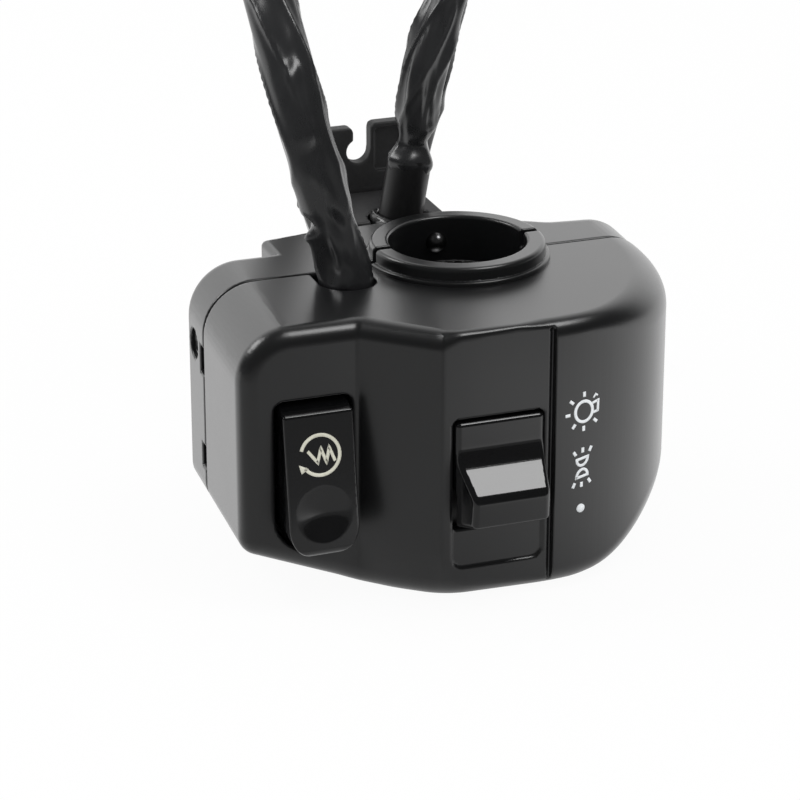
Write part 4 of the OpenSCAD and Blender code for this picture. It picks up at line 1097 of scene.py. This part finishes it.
@dataclass
class Studio:
    """Camera, floor, world and soft lights, in metres."""
    eye: Colour = (-0.1714, -0.4473, 0.2176)
    ahead: Colour = (0.3140, 0.8695, -0.3812)
    right: Colour = (0.9406, -0.3396, 0.0)
    lens: float = 140.97
    # The direction in which the floor's painted reflection and the room seen in the gloss grow brighter
    bright: Colour = (0.2, 0.98, 0.0)
    middle: Colour = (-0.005, 0.0, 0.03)

    def camera(self) -> None:
        """Sets the camera where the photograph was taken from."""
        view = bpy.data.cameras.new("photo_view")
        view.lens, view.sensor_width, view.sensor_fit = self.lens, 36.0, "HORIZONTAL"
        view.clip_start, view.clip_end = 0.01, 20
        eye = bpy.data.objects.new("photo_view", view)
        ahead, right = Vector(self.ahead).normalized(), Vector(self.right).normalized()
        up = right.cross(ahead)
        turn = Matrix((right, up, -ahead)).transposed()
        eye.matrix_world = Matrix.Translation(self.eye) @ turn.to_4x4()
        bpy.context.scene.collection.objects.link(eye)
        bpy.context.scene.camera = eye

    def light(self, name: str, at: Colour, size: Point, watts: float) -> None:
        """Adds a soft rectangular light that is aimed at the middle of the case."""
        lamp = bpy.data.lights.new(name, "AREA")
        lamp.shape, lamp.size, lamp.size_y, lamp.energy = "RECTANGLE", size[0], size[1], watts
        made = bpy.data.objects.new(name, lamp)
        made.location = at
        back = (Vector(at) - Vector(self.middle)).normalized()
        side = (Vector((1, 0, 0)) - back * back.x).normalized()
        made.rotation_euler = Matrix((side, back.cross(side), back)).transposed().to_euler()
        bpy.context.scene.collection.objects.link(made)

    def floor(self) -> None:
        """Lays a pale floor that keeps a soft shadow, and that reflections see as a glow with painted light
        and shade.
        """
        half = 3.0
        mesh = bpy.data.meshes.new("floor")
        corners = [(-half, -half, 0), (half, -half, 0), (half, half, 0), (-half, half, 0)]
        mesh.from_pydata(corners, [], [(0, 1, 2, 3)])
        made = link("floor", mesh)
        made.location.z = -0.0002
        paper = bpy.data.materials.new("floor_paper")
        paper.use_nodes = True
        shop = Shader(paper.node_tree)
        tone = shop.noise(3.0, 2.0).step(0.2, 0.8).between((0.78, 0.78, 0.78), (0.82, 0.82, 0.82))
        matt = shop.node("ShaderNodeBsdfDiffuse", {}, {"Color": tone})
        # Painted reflection: glossy rays see an emission instead of the lit floor. Its brightness is set by
        # position: painted shade in front of and close to the case, and painted light to its right and behind
        # it.
        depth = shop.along(shop.place(), self.bright)
        front = shop.along(shop.place(), (0, 1, 0)).step(-0.18, -0.135)
        painted_light = shop.along(shop.place(), (1, 0, 0)).step(-0.015, 0.05) * front
        painted_light = painted_light.larger(depth.step(-0.05, 0.0)) * 0.7 + front * 0.22
        painted_reflection = shop.node("ShaderNodeEmission", {}, {"Color": painted_light.between((0.12, 0.12, 0.12), (1, 1, 1))})
        white = shop.node("ShaderNodeEmission", {}, {"Color": (1, 1, 1, 1), "Strength": 1.0})
        mirrored = shop.node("ShaderNodeLightPath", out="Is Glossy Ray")
        seen = shop.node("ShaderNodeLightPath", out="Is Camera Ray")
        mixed = shop.mix(seen * 0.95, shop.mix(mirrored * 0.9, matt, painted_reflection), white)
        shop.node("ShaderNodeOutputMaterial", {}, {"Surface": mixed})
        mesh.materials.append(paper)

    def world(self) -> None:
        """A white background, with a dim room that the gloss picks up."""
        room = bpy.data.worlds.new("room")
        room.use_nodes = True
        bpy.context.scene.world = room
        shop = Shader(room.node_tree)
        seen = shop.node("ShaderNodeLightPath", out="Is Camera Ray")
        seen = seen.larger(shop.node("ShaderNodeLightPath", out="Is Transmission Ray"))
        mirrored = shop.node("ShaderNodeLightPath", out="Is Glossy Ray")
        depth = shop.along(shop.node("ShaderNodeTexCoord", out="Generated"), self.bright)
        wall = shop.node("ShaderNodeBackground", {}, {
            "Color": depth.step(0.2, 0.75).between((0.06, 0.06, 0.06), (1, 1, 1))})
        dim = shop.node("ShaderNodeBackground", {}, {"Color": (1, 1, 1, 1), "Strength": 0.8})
        white = shop.node("ShaderNodeBackground", {}, {"Color": (1, 1, 1, 1), "Strength": 1.0})
        mixed = shop.mix(seen, shop.mix(mirrored, dim, wall), white)
        shop.node("ShaderNodeOutputWorld", {}, {"Surface": mixed})

    def build(self) -> None:
        """Sets up the whole studio."""
        self.floor()
        self.world()
        self.light("overhead", (0.27, -0.24, 0.75), (0.28, 0.32), 1.75)
        self.light("left_window", (-0.55, 0.30, 0.62), (0.36, 0.42), 2.4)


def main() -> None:
    """Builds the studio's camera, the cords, and then every other piece."""
    logging.basicConfig(level=logging.INFO, format="%(message)s")
    bpy.context.scene.view_settings.view_transform = "Standard"
    studio = Studio()
    studio.camera()
    right = Vector(studio.right)
    Sleeve("main_sleeve", "main_lead", "main_connector", MAIN_ROUTE, 4.2, 3.3, MAIN_FOLDS,
           necks=((17.8, 2.2, 0.08),), lobe_from=22.0, crumple=0.22).build(right)
    Sleeve("lamp_sleeve", "lamp_lead", "lamp_connector", LAMP_ROUTE, 3.0, 2.9, LAMP_FOLDS,
           necks=((15.2, 1.7, -0.2), (19.2, 1.8, 0.24), (32.0, 9.0, -0.22)),
           lobes=0.35, lobe_from=20.0, seed=11, sides=64).build(right)
    case, button = Case(), StartButton()
    case.build()
    button.build()
    LightSlider().build()
    Signs(case, button).build()
    Bracket().build()
    Fittings().build()
    studio.build()
    bpy.context.view_layer.update()


if __name__ == "__main__":
    main()
